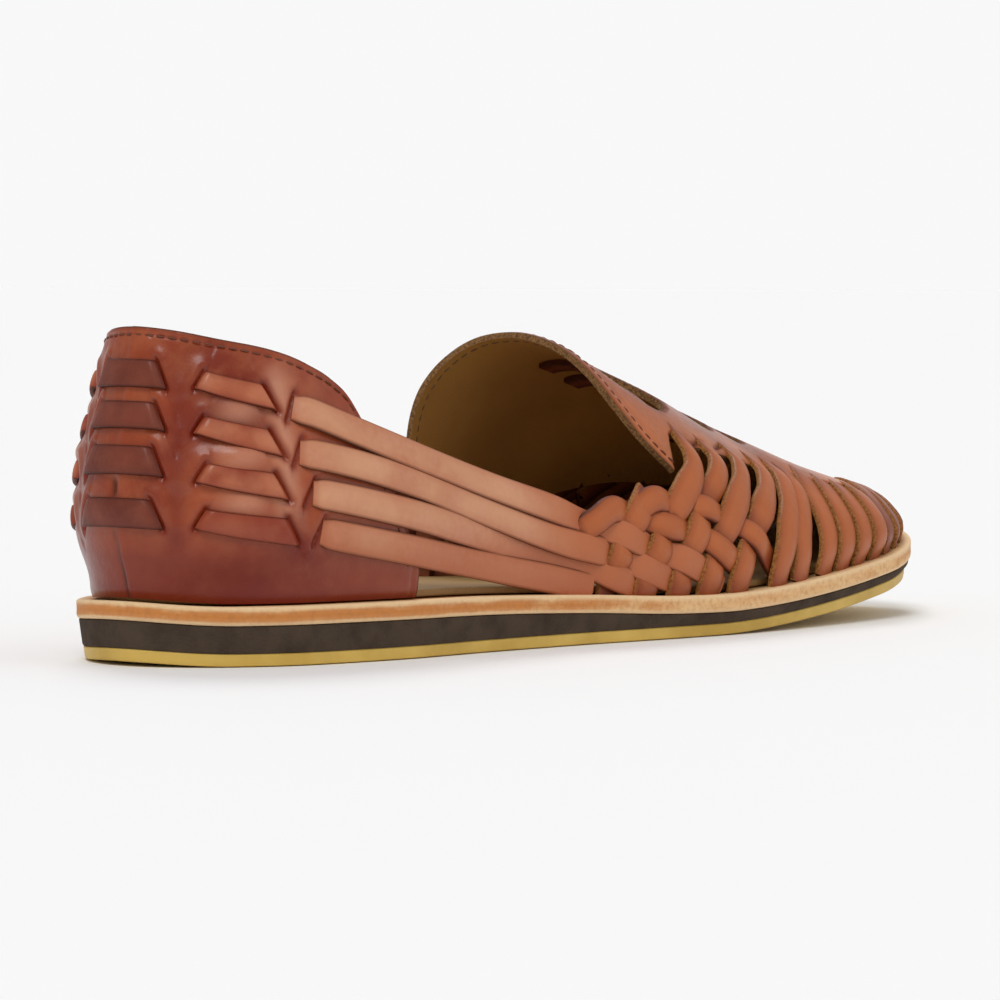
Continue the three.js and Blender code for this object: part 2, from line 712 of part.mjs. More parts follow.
// One layer of the sole between two heights, each a function of the station
function layer(bottom, bottomInset, top, topInset) {
  const half = 30;
  const count = 2 * half;
  const ring = (height, inset) =>
    Array.from({ length: count }, (_, i) => {
      const { point } = plan((180 * i) / half, inset);
      return new THREE.Vector3(point.x, point.y, height(point.x));
    });
  const faces = [];
  for (let i = 0; i < count; i += 1) {
    const next = (i + 1) % count;
    faces.push([i, count + i, count + next, next]);
  }
  for (let i = 0; i < half; i += 1) {
    const corners = [i, i + 1, count - i - 1, (count - i) % count];
    const cap = corners.filter((corner, k) => corners.indexOf(corner) === k);
    faces.push(cap);
    faces.push(cap.map((corner) => count + corner).reverse());
  }
  return mesh([...ring(bottom, bottomInset), ...ring(top, topInset)], faces);
}

// The largest connected skin of a mesh, so that pockets shut in between strips are filled
function outerSkin(corners, triangles) {
  const parent = Array.from({ length: corners.length / 3 }, (_, i) => i);
  const root = (i) => {
    while (parent[i] !== i) i = parent[i] = parent[parent[i]];
    return i;
  };
  for (let i = 0; i < triangles.length; i += 3) {
    parent[root(triangles[i])] = root(triangles[i + 1]);
    parent[root(triangles[i + 1])] = root(triangles[i + 2]);
  }
  const count = new Map();
  for (const corner of triangles) count.set(root(corner), (count.get(root(corner)) ?? 0) + 1);
  const largest = [...count].reduce((best, entry) => (entry[1] > best[1] ? entry : best))[0];
  return triangles.filter((corner) => root(corner) === largest);
}

// Everything woven together, cut off just above the midsole
function upper() {
  const pieces = [quarter(), vamp(), ...quarterStraps(), ...weave(), toeWall(), ...crestStraps()];
  const whole = pieces.reduce((joined, piece) => joined.add(piece));
  const foot = layer((x) => deck(x) - 3, -4, (x) => deck(x) + GAP, -4);
  const { vertProperties, triVerts } = whole.subtract(solid(foot)).getMesh();
  const geometry = new THREE.BufferGeometry();
  geometry.setAttribute('position', new THREE.Float32BufferAttribute(vertProperties, 3));
  geometry.setIndex([...outerSkin(vertProperties, triVerts)]);
  return mergeVertices(geometry, 1e-6);
}

const shoe = new THREE.Group();

function add(name, geometry, color, roughness) {
  const material = new THREE.MeshStandardMaterial({ color, roughness, metalness: 0 });
  const piece = new THREE.Mesh(geometry, material);
  piece.name = name;
  shoe.add(piece);
}

const insoleInset = WELT + WALL + 2 * GAP;
add('outsole', layer(floorClearance, 2.0, rubberTop, 1.6), 0xa59144, 0.45);
add('wedge_midsole', layer((x) => rubberTop(x) + GAP, 1.4, (x) => wedgeTop(x) - GAP, 0.5), 0x4d443b, 0.9);
add('leather_midsole', layer(wedgeTop, 0.2, deck, 0), 0xc98f55, 0.6);
add('insole', layer((x) => deck(x) + GAP, insoleInset, (x) => deck(x) + INSOLE_LEATHER, insoleInset), 0x9c7d45, 0.6);
add('upper', upper(), 0x8a4326, 0.42);

// Origin under the middle of the shoe's bounding box
const box = new THREE.Box3().setFromObject(shoe);
shoe.position.set(-(box.min.x + box.max.x) / 2, -(box.min.y + box.max.y) / 2, -box.min.z);

export default shoe;
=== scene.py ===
# %% [markdown]
# # A woven huarache for the right foot
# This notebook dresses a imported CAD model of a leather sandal: a gum rubber sole under a dark
# foam wedge, a thick leather midsole, and an upper of one heel quarter, one vamp and many
# leather strips. The CAD solids fix every size. Here each of them gets the fine surface that
# the real piece has: rounded cut edges, puckers, stitches, grain, stain and gloss.

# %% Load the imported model
import math
import bpy
import bmesh
import numpy as np
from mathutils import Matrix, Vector


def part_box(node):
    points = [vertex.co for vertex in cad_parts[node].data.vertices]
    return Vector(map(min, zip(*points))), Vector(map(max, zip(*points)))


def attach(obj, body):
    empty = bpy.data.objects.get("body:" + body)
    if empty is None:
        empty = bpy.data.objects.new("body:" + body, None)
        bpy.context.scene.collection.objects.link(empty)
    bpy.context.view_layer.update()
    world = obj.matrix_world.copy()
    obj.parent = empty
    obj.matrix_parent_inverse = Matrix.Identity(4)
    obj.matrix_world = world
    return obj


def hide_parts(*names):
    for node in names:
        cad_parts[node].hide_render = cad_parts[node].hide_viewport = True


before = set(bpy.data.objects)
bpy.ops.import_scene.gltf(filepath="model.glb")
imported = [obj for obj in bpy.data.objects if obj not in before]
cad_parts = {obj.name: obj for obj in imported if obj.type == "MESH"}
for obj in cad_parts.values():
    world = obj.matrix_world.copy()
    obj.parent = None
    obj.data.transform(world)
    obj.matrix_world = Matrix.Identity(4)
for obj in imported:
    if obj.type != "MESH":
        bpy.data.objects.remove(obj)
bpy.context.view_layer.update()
print("CAD nodes:", sorted(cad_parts))

# %% [markdown]
# ## Sizes
# Everything is worked out in millimetres from the back of the heel, with x to the toe, y to
# the inner side of the foot and z up. The same sizes made the CAD solids, so a strip that is
# placed here by its distance from the heel lies where its solid lies.

# %% Named sizes
SOLE_LENGTH = 292.0
WELT = 3.6
RUBBER = 2.9
MIDSOLE_LEATHER = 4.4
INSOLE_LEATHER = 2.1
WALL = 2.0
STRIP = 1.45
STRAP_WIDTH = 6.2
COLUMN_WIDTH = 8.4
GAP = 0.3
TOE_SPRING = 12.9
SPRING_START = 170.0
HEEL_CAP = 34.0
TOE_CAP = 46.0
TOE_SHIFT = 3.0
RIDGE_START = 16.0
RIDGE_END = 281.0


def table(names, *rows):
    """A small table: one array for each named column."""
    return dict(zip(names.split(), np.array(rows, float).T))


def unit(value):
    """The value held between 0 and 1."""
    return np.clip(value, 0, 1)


def hump(value):
    """1 at zero, falling off softly on both sides."""
    return np.exp(-value**2)


sole_edge = table(
    "x outer inner",
    (0, 27, 29), (18, 31, 32.5), (35, 35, 34.5), (58, 38.6, 35), (88, 39, 33),
    (123, 41, 32.5), (152, 44.5, 37), (181, 46.8, 45), (204, 45.8, 49),
    (228, 43.4, 49), (251, 39.4, 45), (272, 35.2, 39.5), (292, 31, 33),
)
wedge_thickness = table(
    "x thick",
    (0, 6.5), (45, 6.5), (90, 6.0), (125, 4.7), (152, 3.3), (190, 2.8), (240, 2.5), (292, 2.0),
)
ridge = table(
    "x z y",
    (16, 96, 0), (60, 95, 0), (110, 88, 2.5), (150, 75.5, 5), (170, 68.6, 4.7),
    (185, 62.6, 4.4), (203, 56, 4), (220, 49.3, 3.8), (236, 42, 3.6), (255, 36.3, 3.4),
    (271, 33.4, 3.2), (281, 32, 3),
)
fullness = table(
    "x outer inner outer_bulge inner_bulge",
    (0, 3.0, 3.0, 4.2, 4.2), (60, 2.6, 2.6, 2.4, 2.4), (110, 2.2, 2.6, 2.0, 2.0),
    (150, 1.9, 2.5, 2.4, 2.0), (185, 1.75, 2.2, 2.4, 2.1), (220, 1.7, 2.1, 2.4, 2.2),
    (245, 2.3, 2.4, 2.1, 2.0), (262, 2.7, 2.8, 1.8, 1.8), (292, 3.2, 3.2, 1.5, 1.5),
)
bulge_profile = table(
    "height share",
    (0, 0), (0.05, 0.15), (0.15, 0.72), (0.26, 1), (0.36, 0.9), (0.56, 0.35), (0.8, 0.05),
    (1, 0),
)
print("sole", SOLE_LENGTH, "mm long,", sole_edge["outer"].max() + sole_edge["inner"].max(), "mm wide")

# %% [markdown]
# ## The last
# A shoe is built round a last, a smooth foot-like form. Here it is one function: a turn round
# the shoe (0 at the heel, 180 at the toe, negative on the outer side) and a rise from the
# feather line, where upper meets sole, to the top line. Sheets, strips and stitches are all
# laid on it with a small lift, which is how the leather follows the same form everywhere.

# %% Curves and the last
def curve(columns, name, at, key="x"):
    """A smooth curve through one column of a table."""
    xs, ys = columns[key], columns[name]
    at = np.asarray(at, float)
    i = np.clip(np.searchsorted(xs, at, side="right") - 1, 0, len(xs) - 2)
    width = np.diff(xs)
    slope = np.diff(ys) / width
    bend = np.concatenate([slope[:1], np.zeros(len(xs) - 2), slope[-1:]])
    bend[1:-1] = (slope[:-1] * width[1:] + slope[1:] * width[:-1]) / (width[1:] + width[:-1])
    t = unit((at - xs[i]) / width[i])
    a = 2 * t**3 - 3 * t**2 + 1
    b = (t**3 - 2 * t**2 + t) * bend[i] + (t**3 - t**2) * bend[i + 1]
    return a * ys[i] + (1 - a) * ys[i + 1] + width[i] * b


def wrap(turn):
    return (np.asarray(turn, float) + 180) % 360 - 180


def station(turn):
    return SOLE_LENGTH / 2 * (1 - np.cos(np.radians(turn)))


def turn_at(x):
    return np.degrees(np.arccos(np.clip(1 - 2 * np.asarray(x, float) / SOLE_LENGTH, -1, 1)))


def edge_point(turn):
    turn = wrap(turn)
    x = station(turn)
    heel = unit((HEEL_CAP - x) / HEEL_CAP)
    toe = unit((x - SOLE_LENGTH + TOE_CAP) / TOE_CAP)
    rounded = (1 - heel**2.1) ** (1 / 2.1) * np.sqrt(1 - toe**2)
    middle = TOE_SHIFT * unit((x - 200) / (SOLE_LENGTH - 200)) ** 2
    side = np.where(turn < 0, -1.0, 1.0)
    half = np.where(turn < 0, curve(sole_edge, "outer", x), curve(sole_edge, "inner", x))
    return np.stack([x, middle + side * (half - side * middle) * rounded], -1)


def plan(turn, inset=0.0):
    """The sole's edge moved inwards, and the outward direction there."""
    along = edge_point(turn + 0.25) - edge_point(turn - 0.25)
    along /= np.linalg.norm(along, axis=-1, keepdims=True)
    outward = np.stack([-along[..., 1], along[..., 0]], -1)
    point = edge_point(turn)
    core = np.stack([np.clip(point[..., 0], 30, SOLE_LENGTH - 35), 0 * point[..., 0]], -1)
    outward *= np.where(np.sum(outward * (point - core), -1, keepdims=True) < 0, -1, 1)
    return point - outward * np.asarray(inset)[..., None], outward


def floor_clearance(x):
    toe = unit((x - SPRING_START) / (SOLE_LENGTH - SPRING_START))
    heel = unit((16 - x) / 16)
    return TOE_SPRING * toe**1.5 + 1.3 * heel**2


def rubber_top(x):
    return floor_clearance(x) + RUBBER


def wedge_top(x):
    return rubber_top(x) + curve(wedge_thickness, "thick", x)


def deck(x):
    return wedge_top(x) + MIDSOLE_LEATHER


def top_station(x):
    return RIDGE_START + (RIDGE_END - RIDGE_START) * x / SOLE_LENGTH


def last(turn, rise):
    """A point of the last; past a rise of 1 it comes down the other side."""
    turn, rise = np.broadcast_arrays(np.asarray(turn, float), np.asarray(rise, float))
    turn = wrap(np.where(rise > 1, -turn, turn))
    rise = unit(np.where(rise > 1, 2 - rise, rise))
    x = station(turn)
    foot, outward = plan(turn, WELT)
    top_x = top_station(x)
    top = np.stack([top_x, curve(ridge, "y", top_x)], -1)
    outer = turn < 0
    power = np.where(outer, curve(fullness, "outer", x), curve(fullness, "inner", x))
    bulge = np.where(outer, curve(fullness, "outer_bulge", x), curve(fullness, "inner_bulge", x))
    angle = rise * math.pi / 2
    height = np.sin(angle) ** (2 / power)
    spread = np.maximum(np.cos(angle), 0) ** (2 / power)
    bulge = bulge * curve(bulge_profile, "share", height, "height")
    flat = top + (foot - top) * spread[..., None] + outward * bulge[..., None]
    z = deck(x) + (curve(ridge, "z", top_x) - deck(x)) * height
    return np.concatenate([flat, z[..., None]], -1)


def rise_at(turn, up):
    """The rise at a height above the midsole."""
    x = station(turn)
    height = unit(up / (curve(ridge, "z", top_station(x)) - deck(x)))
    outer = wrap(turn) < 0
    power = np.where(outer, curve(fullness, "outer", x), curve(fullness, "inner", x))
    return 2 / math.pi * np.arcsin(height ** (power / 2))


def slope_normal(turn, rise):
    along = last(turn + 0.5, rise) - last(turn - 0.5, rise)
    up = last(turn, rise + 0.006) - last(turn, rise - 0.006)
    across = np.cross(up, along)
    return across / np.maximum(np.linalg.norm(across, axis=-1, keepdims=True), 1e-9)


def normal(turn, rise):
    turn, rise = np.broadcast_arrays(wrap(turn), np.asarray(rise, float))
    at_toe = np.abs(turn) > 178
    both = slope_normal(np.where(at_toe, 178, turn), rise)
    both = both + slope_normal(np.where(at_toe, -178, turn), rise)
    return both / np.linalg.norm(both, axis=-1, keepdims=True)


def lifted(turn, rise, lift):
    return last(turn, rise) + normal(turn, rise) * np.asarray(lift, float)[..., None]


sole_low, sole_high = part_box("leather_midsole")
outline_y = plan(np.arange(-180, 180, 0.5))[0][:, 1]
SHIFT = np.array([
    (sole_low.x + sole_high.x) * 500 - SOLE_LENGTH / 2,
    -(outline_y.max() + outline_y.min()) / 2,
    0.0,
])
print("from heel frame to row frame, mm:", SHIFT.round(2))

# %% [markdown]
# ## Camera, floor and light
# The shoe is seen from behind its outer side, low down, through a long lens. The floor and the
# background are plain and pale, so the leather's own colour and gloss carry the picture. A
# soft light comes from above the heel, another from above the toe, and a weak low one from
# the outer side. The pale room keeps the shadows open, and beyond the shoe it is as bright as
# the floor, so that no horizon shows.

# %% Camera
CAMERA_PLACE = Vector((-888.8, -864.6, 93.6))
CAMERA_TARGET = Vector((137.0, 0.0, 33.5))
scene = bpy.context.scene


def place(point):
    """A point of the heel frame, in metres of the row frame."""
    return Vector([(p + s) / 1000 for p, s in zip(point, SHIFT)])


camera = bpy.data.objects.new("camera", bpy.data.cameras.new("camera"))
scene.collection.objects.link(camera)
camera.data.sensor_width = 36
camera.data.lens = 194
camera.data.clip_end = 20
camera.location = place(CAMERA_PLACE)
camera.rotation_mode = "QUATERNION"
camera.rotation_quaternion = (place(CAMERA_TARGET) - place(CAMERA_PLACE)).to_track_quat("-Z", "Y")
scene.camera = camera
print("camera at", [round(v, 3) for v in camera.location])

# %% Soft lights
scene.view_settings.view_transform = "Standard"
world = bpy.data.worlds.new("studio")
scene.world = world
world.use_nodes = True
ROOM, BACKDROP = 0.42, 0.94
BEYOND_SHOE = (0.76, 0.64, 0.0)
PATCH_RIM, PATCH_FULL = 0.86, 0.97


def light_room(tree):
    """A brighter patch of the room behind the shoe, by the direction of the light."""
    direction = tree.nodes.new("ShaderNodeTexCoord")
    along = tree.nodes.new("ShaderNodeVectorMath")
    along.operation = "DOT_PRODUCT"
    along.inputs[1].default_value = BEYOND_SHOE
    patch = tree.nodes.new("ShaderNodeMapRange")
    limits = {"From Min": PATCH_RIM, "From Max": PATCH_FULL, "To Min": ROOM, "To Max": BACKDROP}
    for key, value in limits.items():
        patch.inputs[key].default_value = value
    tree.links.new(direction.outputs["Generated"], along.inputs[0])
    tree.links.new(along.outputs["Value"], patch.inputs["Value"])
    tree.links.new(patch.outputs["Result"], tree.nodes["Background"].inputs["Strength"])


world.node_tree.nodes["Background"].inputs["Color"].default_value = (1.0, 1.0, 1.0, 1)
light_room(world.node_tree)


def soft_light(name, towards, angle, strength):
    """A lamp as large as the sky over that angle, so its light is even over the whole floor."""
    lamp = bpy.data.lights.new(name, "SUN")
    lamp.angle = math.radians(angle)
    lamp.energy = strength
    lit = bpy.data.objects.new(name, lamp)
    scene.collection.objects.link(lit)
    lit.rotation_mode = "QUATERNION"
    lit.rotation_quaternion = Vector(towards).to_track_quat("-Z", "Y")


soft_light("key_light", (0.5, 0.25, -0.8), 26, 1.15)
soft_light("back_light", (-0.35, -0.45, -0.8), 26, 0.85)
soft_light("fill_light", (-0.4, 0.8, -0.43), 50, 0.3)

# %% [markdown]
# ## Shader sums
# A finish is a small sum of noises, masks and colours. Writing it as Python expressions keeps
# it readable: the class below wraps a socket, and each operator adds the Math node it means.

# %% A wrapper for sockets
class Socket:
    tree = None

    def __init__(self, socket):
        self.socket = socket

    @classmethod
    def node(cls, kind, settings=None, out=0, **values):
        """Any node: its settings first, then values or links of its sockets."""
        made = cls.tree.nodes.new(kind)
        for key, value in (settings or {}).items():
            setattr(made, key, value)
        for key, value in values.items():
            socket = made.inputs[int(key[1:]) if key[1:].isdigit() else key.replace("_", " ")]
            if isinstance(value, Socket):
                cls.tree.links.new(value.socket, socket)
            else:
                socket.default_value = value
        return cls(made.outputs[out])

    def sum(self, operation, first, second):
        return Socket.node("ShaderNodeMath", {"operation": operation}, _0=first, _1=second)

    def __add__(self, other): return self.sum("ADD", self, other)
    def __radd__(self, other): return self.sum("ADD", other, self)
    def __sub__(self, other): return self.sum("SUBTRACT", self, other)
    def __rsub__(self, other): return self.sum("SUBTRACT", other, self)
    def __mul__(self, other): return self.sum("MULTIPLY", self, other)
    def __rmul__(self, other): return self.sum("MULTIPLY", other, self)

    def between(self, low, high):
        """0 below low, 1 above high, smooth in between."""
        return Socket.node(
            "ShaderNodeMapRange", {"interpolation_type": "SMOOTHSTEP", "clamp": True},
            Value=self, From_Min=low, From_Max=high,
        )


def mix(factor, first, second):
    colours = {"data_type": "RGBA"}
    return Socket.node("ShaderNodeMix", colours, out=2, _0=factor, _6=first, _7=second)


def noise(scale, detail=3.0, stretch=None):
    """Noise in the object's own millimetres: scale is the size of its patches."""
    place_in = Socket.node("ShaderNodeTexCoord", out=3)
    if stretch:
        place_in = Socket.node("ShaderNodeMapping", Vector=place_in, Scale=stretch)
    return Socket.node(
        "ShaderNodeTexNoise", {"noise_dimensions": "3D"},
        Vector=place_in, Scale=1000 / scale, Detail=detail, Roughness=0.55,
    )


def cells(scale):
    """Small round cells, like the grain of hide."""
    place_in = Socket.node("ShaderNodeTexCoord", out=3)
    kind = {"feature": "F1"}
    return Socket.node("ShaderNodeTexVoronoi", kind, Vector=place_in, Scale=1000 / scale)


def mark(name):
    """A number that the mesh carries at each of its points."""
    return Socket.node("ShaderNodeAttribute", {"attribute_name": name}, out=2)


def bump(height, strength):
    return Socket.node("ShaderNodeBump", Height=height, Strength=strength, Distance=0.001)


def rgb(*seen):
    """A colour as seen on screen, 0 to 255, as the shader wants it."""
    linear = (((v / 255 + 0.055) / 1.055) ** 2.4 if v > 10 else v / 3295 for v in seen)
    return (*linear, 1.0)


def finish(name, inputs):
    """A material whose Principled shader takes the inputs that the function returns."""
    material = bpy.data.materials.new(name)
    material.use_nodes = True
    Socket.tree = material.node_tree
    shader = material.node_tree.nodes["Principled BSDF"]
    for key, value in inputs().items():
        if isinstance(value, Socket):
            material.node_tree.links.new(value.socket, shader.inputs[key])
        else:
            shader.inputs[key].default_value = value
    return material


print("shader helpers ready")

# %% [markdown]
# ## Leather finishes
# The heel quarter and vamp are burnished: a red-brown stain, darker in patches and along cut
# edges, under a waxy coat. The strips are the same hide, paler and drier. What shows at a cut
# edge is raw fibre, darkened with dye. Grain is a bump of fine cells. Marks on the meshes also
# paint shade into the colour, at slits, creases and crossings, and a pale painted highlight
# on the heel quarter's puffs.

# %% Burnished and strap leather
def leather(stain, gloss, coat, patch, crest=rgb(168, 128, 104)):
    """Stained hide: the colours of the stain are its base, its dark patches and its clouds."""
    base, dark, pale = stain

    def inputs():
        fibre = mix(noise(0.6, 4).between(0.3, 0.7), rgb(112, 66, 26), rgb(176, 122, 62))
        colour = mix(noise(patch, 2).between(0.3, 0.75), base, dark)
        colour = mix(noise(7.0, 4).between(0.35, 0.7) * 0.38, colour, pale)
        # crest mark: a painted highlight on the heel quarter, a darker top tone on the vamp, a redder
        # front on the straps
        colour = mix(mark("crest") * 0.85, colour, crest)
        # shade mark: painted shade, and on some pieces their own darker tone
        colour = mix(mark("shade") * 0.8, colour, dark)
        colour = mix(mark("raw"), colour, fibre)
        colour = mix(mark("edge") * 0.85, colour, rgb(48, 20, 12))
        grain = cells(0.85) * 0.5 + noise(0.45, 2) * 0.6
        cut = (mark("edge") + mark("raw")) * 0.2
        return {
            "Base Color": colour,
            "Roughness": gloss + (noise(3.0, 3) - 0.5) * 0.22 + cut,
            "Specular IOR Level": 0.2,
            "Coat Weight": coat * (1 - mark("edge")) * (1 - mark("raw")),
            "Coat Roughness": 0.24,
            "Normal": bump(grain * 0.2 + noise(5.0, 2) * 0.5, 0.32),
        }
    return inputs


def cut_fibre(size, dark, pale, roughness):
    """What shows where a sheet is cut."""
    def inputs():
        fibre = noise(size, 4)
        return {
            "Base Color": mix(fibre.between(0.3, 0.7), dark, pale),
            "Roughness": roughness,
            "Normal": bump(fibre, 0.5),
        }
    return inputs


BURNISHED = rgb(162, 72, 36), rgb(114, 28, 10), rgb(178, 100, 62)
STRAP = rgb(210, 152, 116), rgb(180, 102, 68), rgb(224, 172, 140)
BAND = rgb(130, 62, 44), rgb(100, 42, 28), rgb(148, 82, 62)
TAB = rgb(192, 112, 76), rgb(136, 48, 26), rgb(206, 136, 102)
WARM = rgb(188, 104, 56), rgb(116, 42, 16), rgb(212, 136, 88)
# The last colour of a finish goes where the crest mark is: the burnished quarter's painted highlight,
# the vamp's top tone, the straps' redder front.
burnished = finish("burnished_leather", leather(BURNISHED, 0.36, 0.34, 30.0, rgb(206, 144, 114)))
strap_leather = finish("strap_leather", leather(STRAP, 0.5, 0.1, 14.0, rgb(182, 100, 58)))
band_leather = finish("band_leather", leather(BAND, 0.46, 0.15, 12.0))
tab_leather = finish("tab_leather", leather(TAB, 0.4, 0.3, 12.0))
warm_leather = finish("warm_leather", leather(WARM, 0.46, 0.16, 14.0, WARM[0]))
vamp_leather = finish("vamp_leather", leather(WARM, 0.4, 0.4, 14.0, rgb(150, 80, 54)))
cut_leather = finish("cut_leather", cut_fibre(0.5, rgb(52, 24, 15), rgb(96, 52, 34), 0.85))
raw_leather = finish("raw_leather", cut_fibre(0.6, rgb(92, 60, 28), rgb(150, 108, 60), 0.9))


def lining():
    tone = noise(70.0, 2).between(0.3, 0.75)
    nap = noise(0.35, 3)
    return {
        "Base Color": mix(tone, rgb(184, 134, 66), rgb(146, 100, 46)),
        "Roughness": 0.78,
        "Specular IOR Level": 0.25,
        "Normal": bump(nap, 0.3),
    }


lining_leather = finish("lining_leather", lining)
print("materials:", [m.name for m in bpy.data.materials])

# %% [markdown]
# ## Sole finishes
# The midsole's side is the cut edge of thick, undyed leather: pale along its top and bottom
# corners, soaked orange-brown between them. The wedge is dull foam rubber with a sanded side,
# and the outsole is amber gum rubber, a little see-through in life, here a soft gloss.

# %% Midsole, wedge, outsole, insole and thread
def natural():
    soaked = (noise(5.0, 4, stretch=(0.4, 0.4, 1.4)) + mark("band") * 0.55).between(0.55, 0.98)
    flecks = noise(1.3, 4).between(0.4, 0.72)
    colour = mix(soaked, rgb(236, 192, 136), rgb(206, 130, 60))
    colour = mix(flecks * 0.4, colour, rgb(176, 108, 60))
    colour = mix(mark("edge") * 0.75, colour, rgb(240, 208, 164))
    return {
        "Base Color": colour,
        "Roughness": 0.62 + (noise(1.2, 3) - 0.5) * 0.2,
        "Specular IOR Level": 0.35,
        "Normal": bump(noise(0.7, 4) * 0.6 + noise(4.0, 2) * 0.4, 0.35),
    }


def foam():
    tone = noise(9.0, 4).between(0.3, 0.75)
    return {
        "Base Color": mix(tone, rgb(82, 68, 56), rgb(62, 50, 40)),
        "Roughness": 0.9,
        "Specular IOR Level": 0.2,
        "Normal": bump(noise(0.5, 3) + cells(0.7) * 0.4, 0.35),
    }


def gum():
    tone = noise(18.0, 3).between(0.3, 0.7)
    return {
        "Base Color": mix(tone, rgb(222, 186, 90), rgb(198, 160, 64)),
        "Roughness": 0.42 + noise(2.0, 3) * 0.15,
        "Specular IOR Level": 0.5,
        "Subsurface Weight": 0.15,
        "Subsurface Radius": (0.004, 0.002, 0.0008),
        "Normal": bump(noise(1.6, 3), 0.12),
    }


def inner_sole():
    tone = noise(30.0, 4).between(0.3, 0.7)
    return {
        "Base Color": mix(tone, rgb(168, 134, 84), rgb(146, 110, 62)),
        "Roughness": 0.6 + noise(4.0, 3) * 0.15,
        "Normal": bump(cells(0.9) * 0.3 + noise(3.0, 3) * 0.5, 0.3),
    }


def thread(pale, dark, roughness):
    return lambda: {"Base Color": mix(noise(0.8, 2), pale, dark), "Roughness": roughness}


natural_leather = finish("natural_leather", natural)
dark_foam = finish("dark_foam", foam)
gum_rubber = finish("gum_rubber", gum)
insole_leather = finish("insole_leather", inner_sole)
brown_thread = finish("brown_thread", thread(rgb(120, 62, 40), rgb(88, 44, 28), 0.7))
tan_thread = finish("tan_thread", thread(rgb(120, 88, 48), rgb(92, 64, 32), 0.75))
print("sole finishes ready")

# %% [markdown]
# ## Mesh helpers
# Each piece is a grid of points worked out with numpy and turned into a mesh at once, which is
# far quicker than adding vertices one by one. A point can carry a named number, such as how
# near it lies to a cut edge, and the material reads it by that name.

# %% From points to pieces
WELD = 2e-6
SHARP = math.radians(42)


def piece(
    name, points, faces, materials, face_material=None, marks=None,
    slot="brown_leather", node="upper", weld=False,
):
    """One mesh of the part, riding its body and standing for its CAD node."""
    mesh = bpy.data.meshes.new(name)
    flat = (np.asarray(points, float).reshape(-1, 3) + SHIFT) / 1000
    mesh.from_pydata(flat.tolist(), [], [list(map(int, f)) for f in faces])
    for material in materials:
        mesh.materials.append(material)
    if face_material is not None:
        mesh.polygons.foreach_set("material_index", np.asarray(face_material, np.int32))
    for key, values in (marks or {}).items():
        layer = mesh.attributes.new(key, "FLOAT", "POINT")
        layer.data.foreach_set("value", np.asarray(values, np.float32).ravel())
    if weld:
        grid = bmesh.new()
        grid.from_mesh(mesh)
        bmesh.ops.remove_doubles(grid, verts=grid.verts, dist=WELD)
        grid.to_mesh(mesh)
        grid.free()
    mesh.update()
    mesh.shade_smooth()
    mesh.set_sharp_from_angle(angle=SHARP)
    made = bpy.data.objects.new(name, mesh)
    scene.collection.objects.link(made)
    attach(made, "root")
    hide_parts(node)
    print(f"{name}: {len(mesh.polygons)} faces")


def shell(name, outer, inner, keep=None, marks=None, materials=None, **options):
    """Two like grids, rows going up by columns of rising turn, joined at each open edge."""
    rows, columns = outer.shape[:2]
    if keep is None:
        keep = np.ones((rows - 1, columns - 1), bool)
    number = np.arange(rows * columns).reshape(rows, columns)
    a, b, c, d = number[:-1, :-1], number[1:, :-1], number[1:, 1:], number[:-1, 1:]
    quads = np.stack([a, b, c, d], -1)[keep]
    count = rows * columns
    faces = [quads, quads[:, ::-1] + count]
    padded = np.pad(keep, 1)
    borders = [
        (padded[1:-1, :-2], a, b), (padded[1:-1, 2:], c, d),
        (padded[:-2, 1:-1], d, a), (padded[2:, 1:-1], b, c),
    ]
    for beside, start, end in borders:
        rim = keep & ~beside
        faces.append(np.stack([end[rim], start[rim], start[rim] + count, end[rim] + count], -1))
    kinds = np.concatenate([np.full(len(f), k) for f, k in zip(faces, (0, 2, 1, 1, 1, 1))])
    points = np.concatenate([outer.reshape(-1, 3), inner.reshape(-1, 3)])
    marks = {key: np.concatenate([v.ravel(), v.ravel()]) for key, v in (marks or {}).items()}
    for key in ("edge", "shade", "raw", "crest"):
        marks.setdefault(key, np.zeros(len(points)))
    used = np.unique(np.concatenate(faces))
    renumber = np.zeros(len(points), int)
    renumber[used] = np.arange(len(used))
    piece(
        name, points[used], renumber[np.concatenate(faces)], materials, kinds,
        {key: v[used] for key, v in marks.items()}, **options,
    )


print("mesh helpers ready")

# %% [markdown]
# ## The sole
# Four layers follow one outline, each a little further in than the one above. A layer is a
# stack of rings: a small radius at each corner, the side between them, and caps of quads from
# one side of the foot to the other. The leather midsole also has a pressed edge round the top.

# %% Sole layers
RING = 360


def slab(name, rows, material, slot, node):
    """rows, from below: (height, added to it, inset, edge mark, band mark)."""
    turns = np.linspace(0, 360, RING, endpoint=False)
    rings, edge, band = [], [], []
    for height, added, inset, edge_mark, band_mark in rows:
        flat, _ = plan(turns, inset)
        rings.append(np.column_stack([flat, height(flat[:, 0]) + added]))
        edge.append(np.full(RING, edge_mark))
        band.append(band_mark * (1 - 0.75 * unit((flat[:, 0] - 90) / 80)))
    faces = []
    for k in range(len(rows) - 1):
        for i in range(RING):
            j = (i + 1) % RING
            faces.append([k * RING + i, (k + 1) * RING + i, (k + 1) * RING + j, k * RING + j])
    top = (len(rows) - 1) * RING
    for i in range(RING // 2):
        corners = [i, i + 1, RING - i - 1, (RING - i) % RING]
        cap = [c for k, c in enumerate(corners) if corners.index(c) == k]
        faces.append(cap)
        faces.append([top + c for c in reversed(cap)])
    marks = {"edge": np.concatenate(edge), "band": np.concatenate(band)}
    piece(name, np.concatenate(rings), faces, [material], None, marks, slot, node)


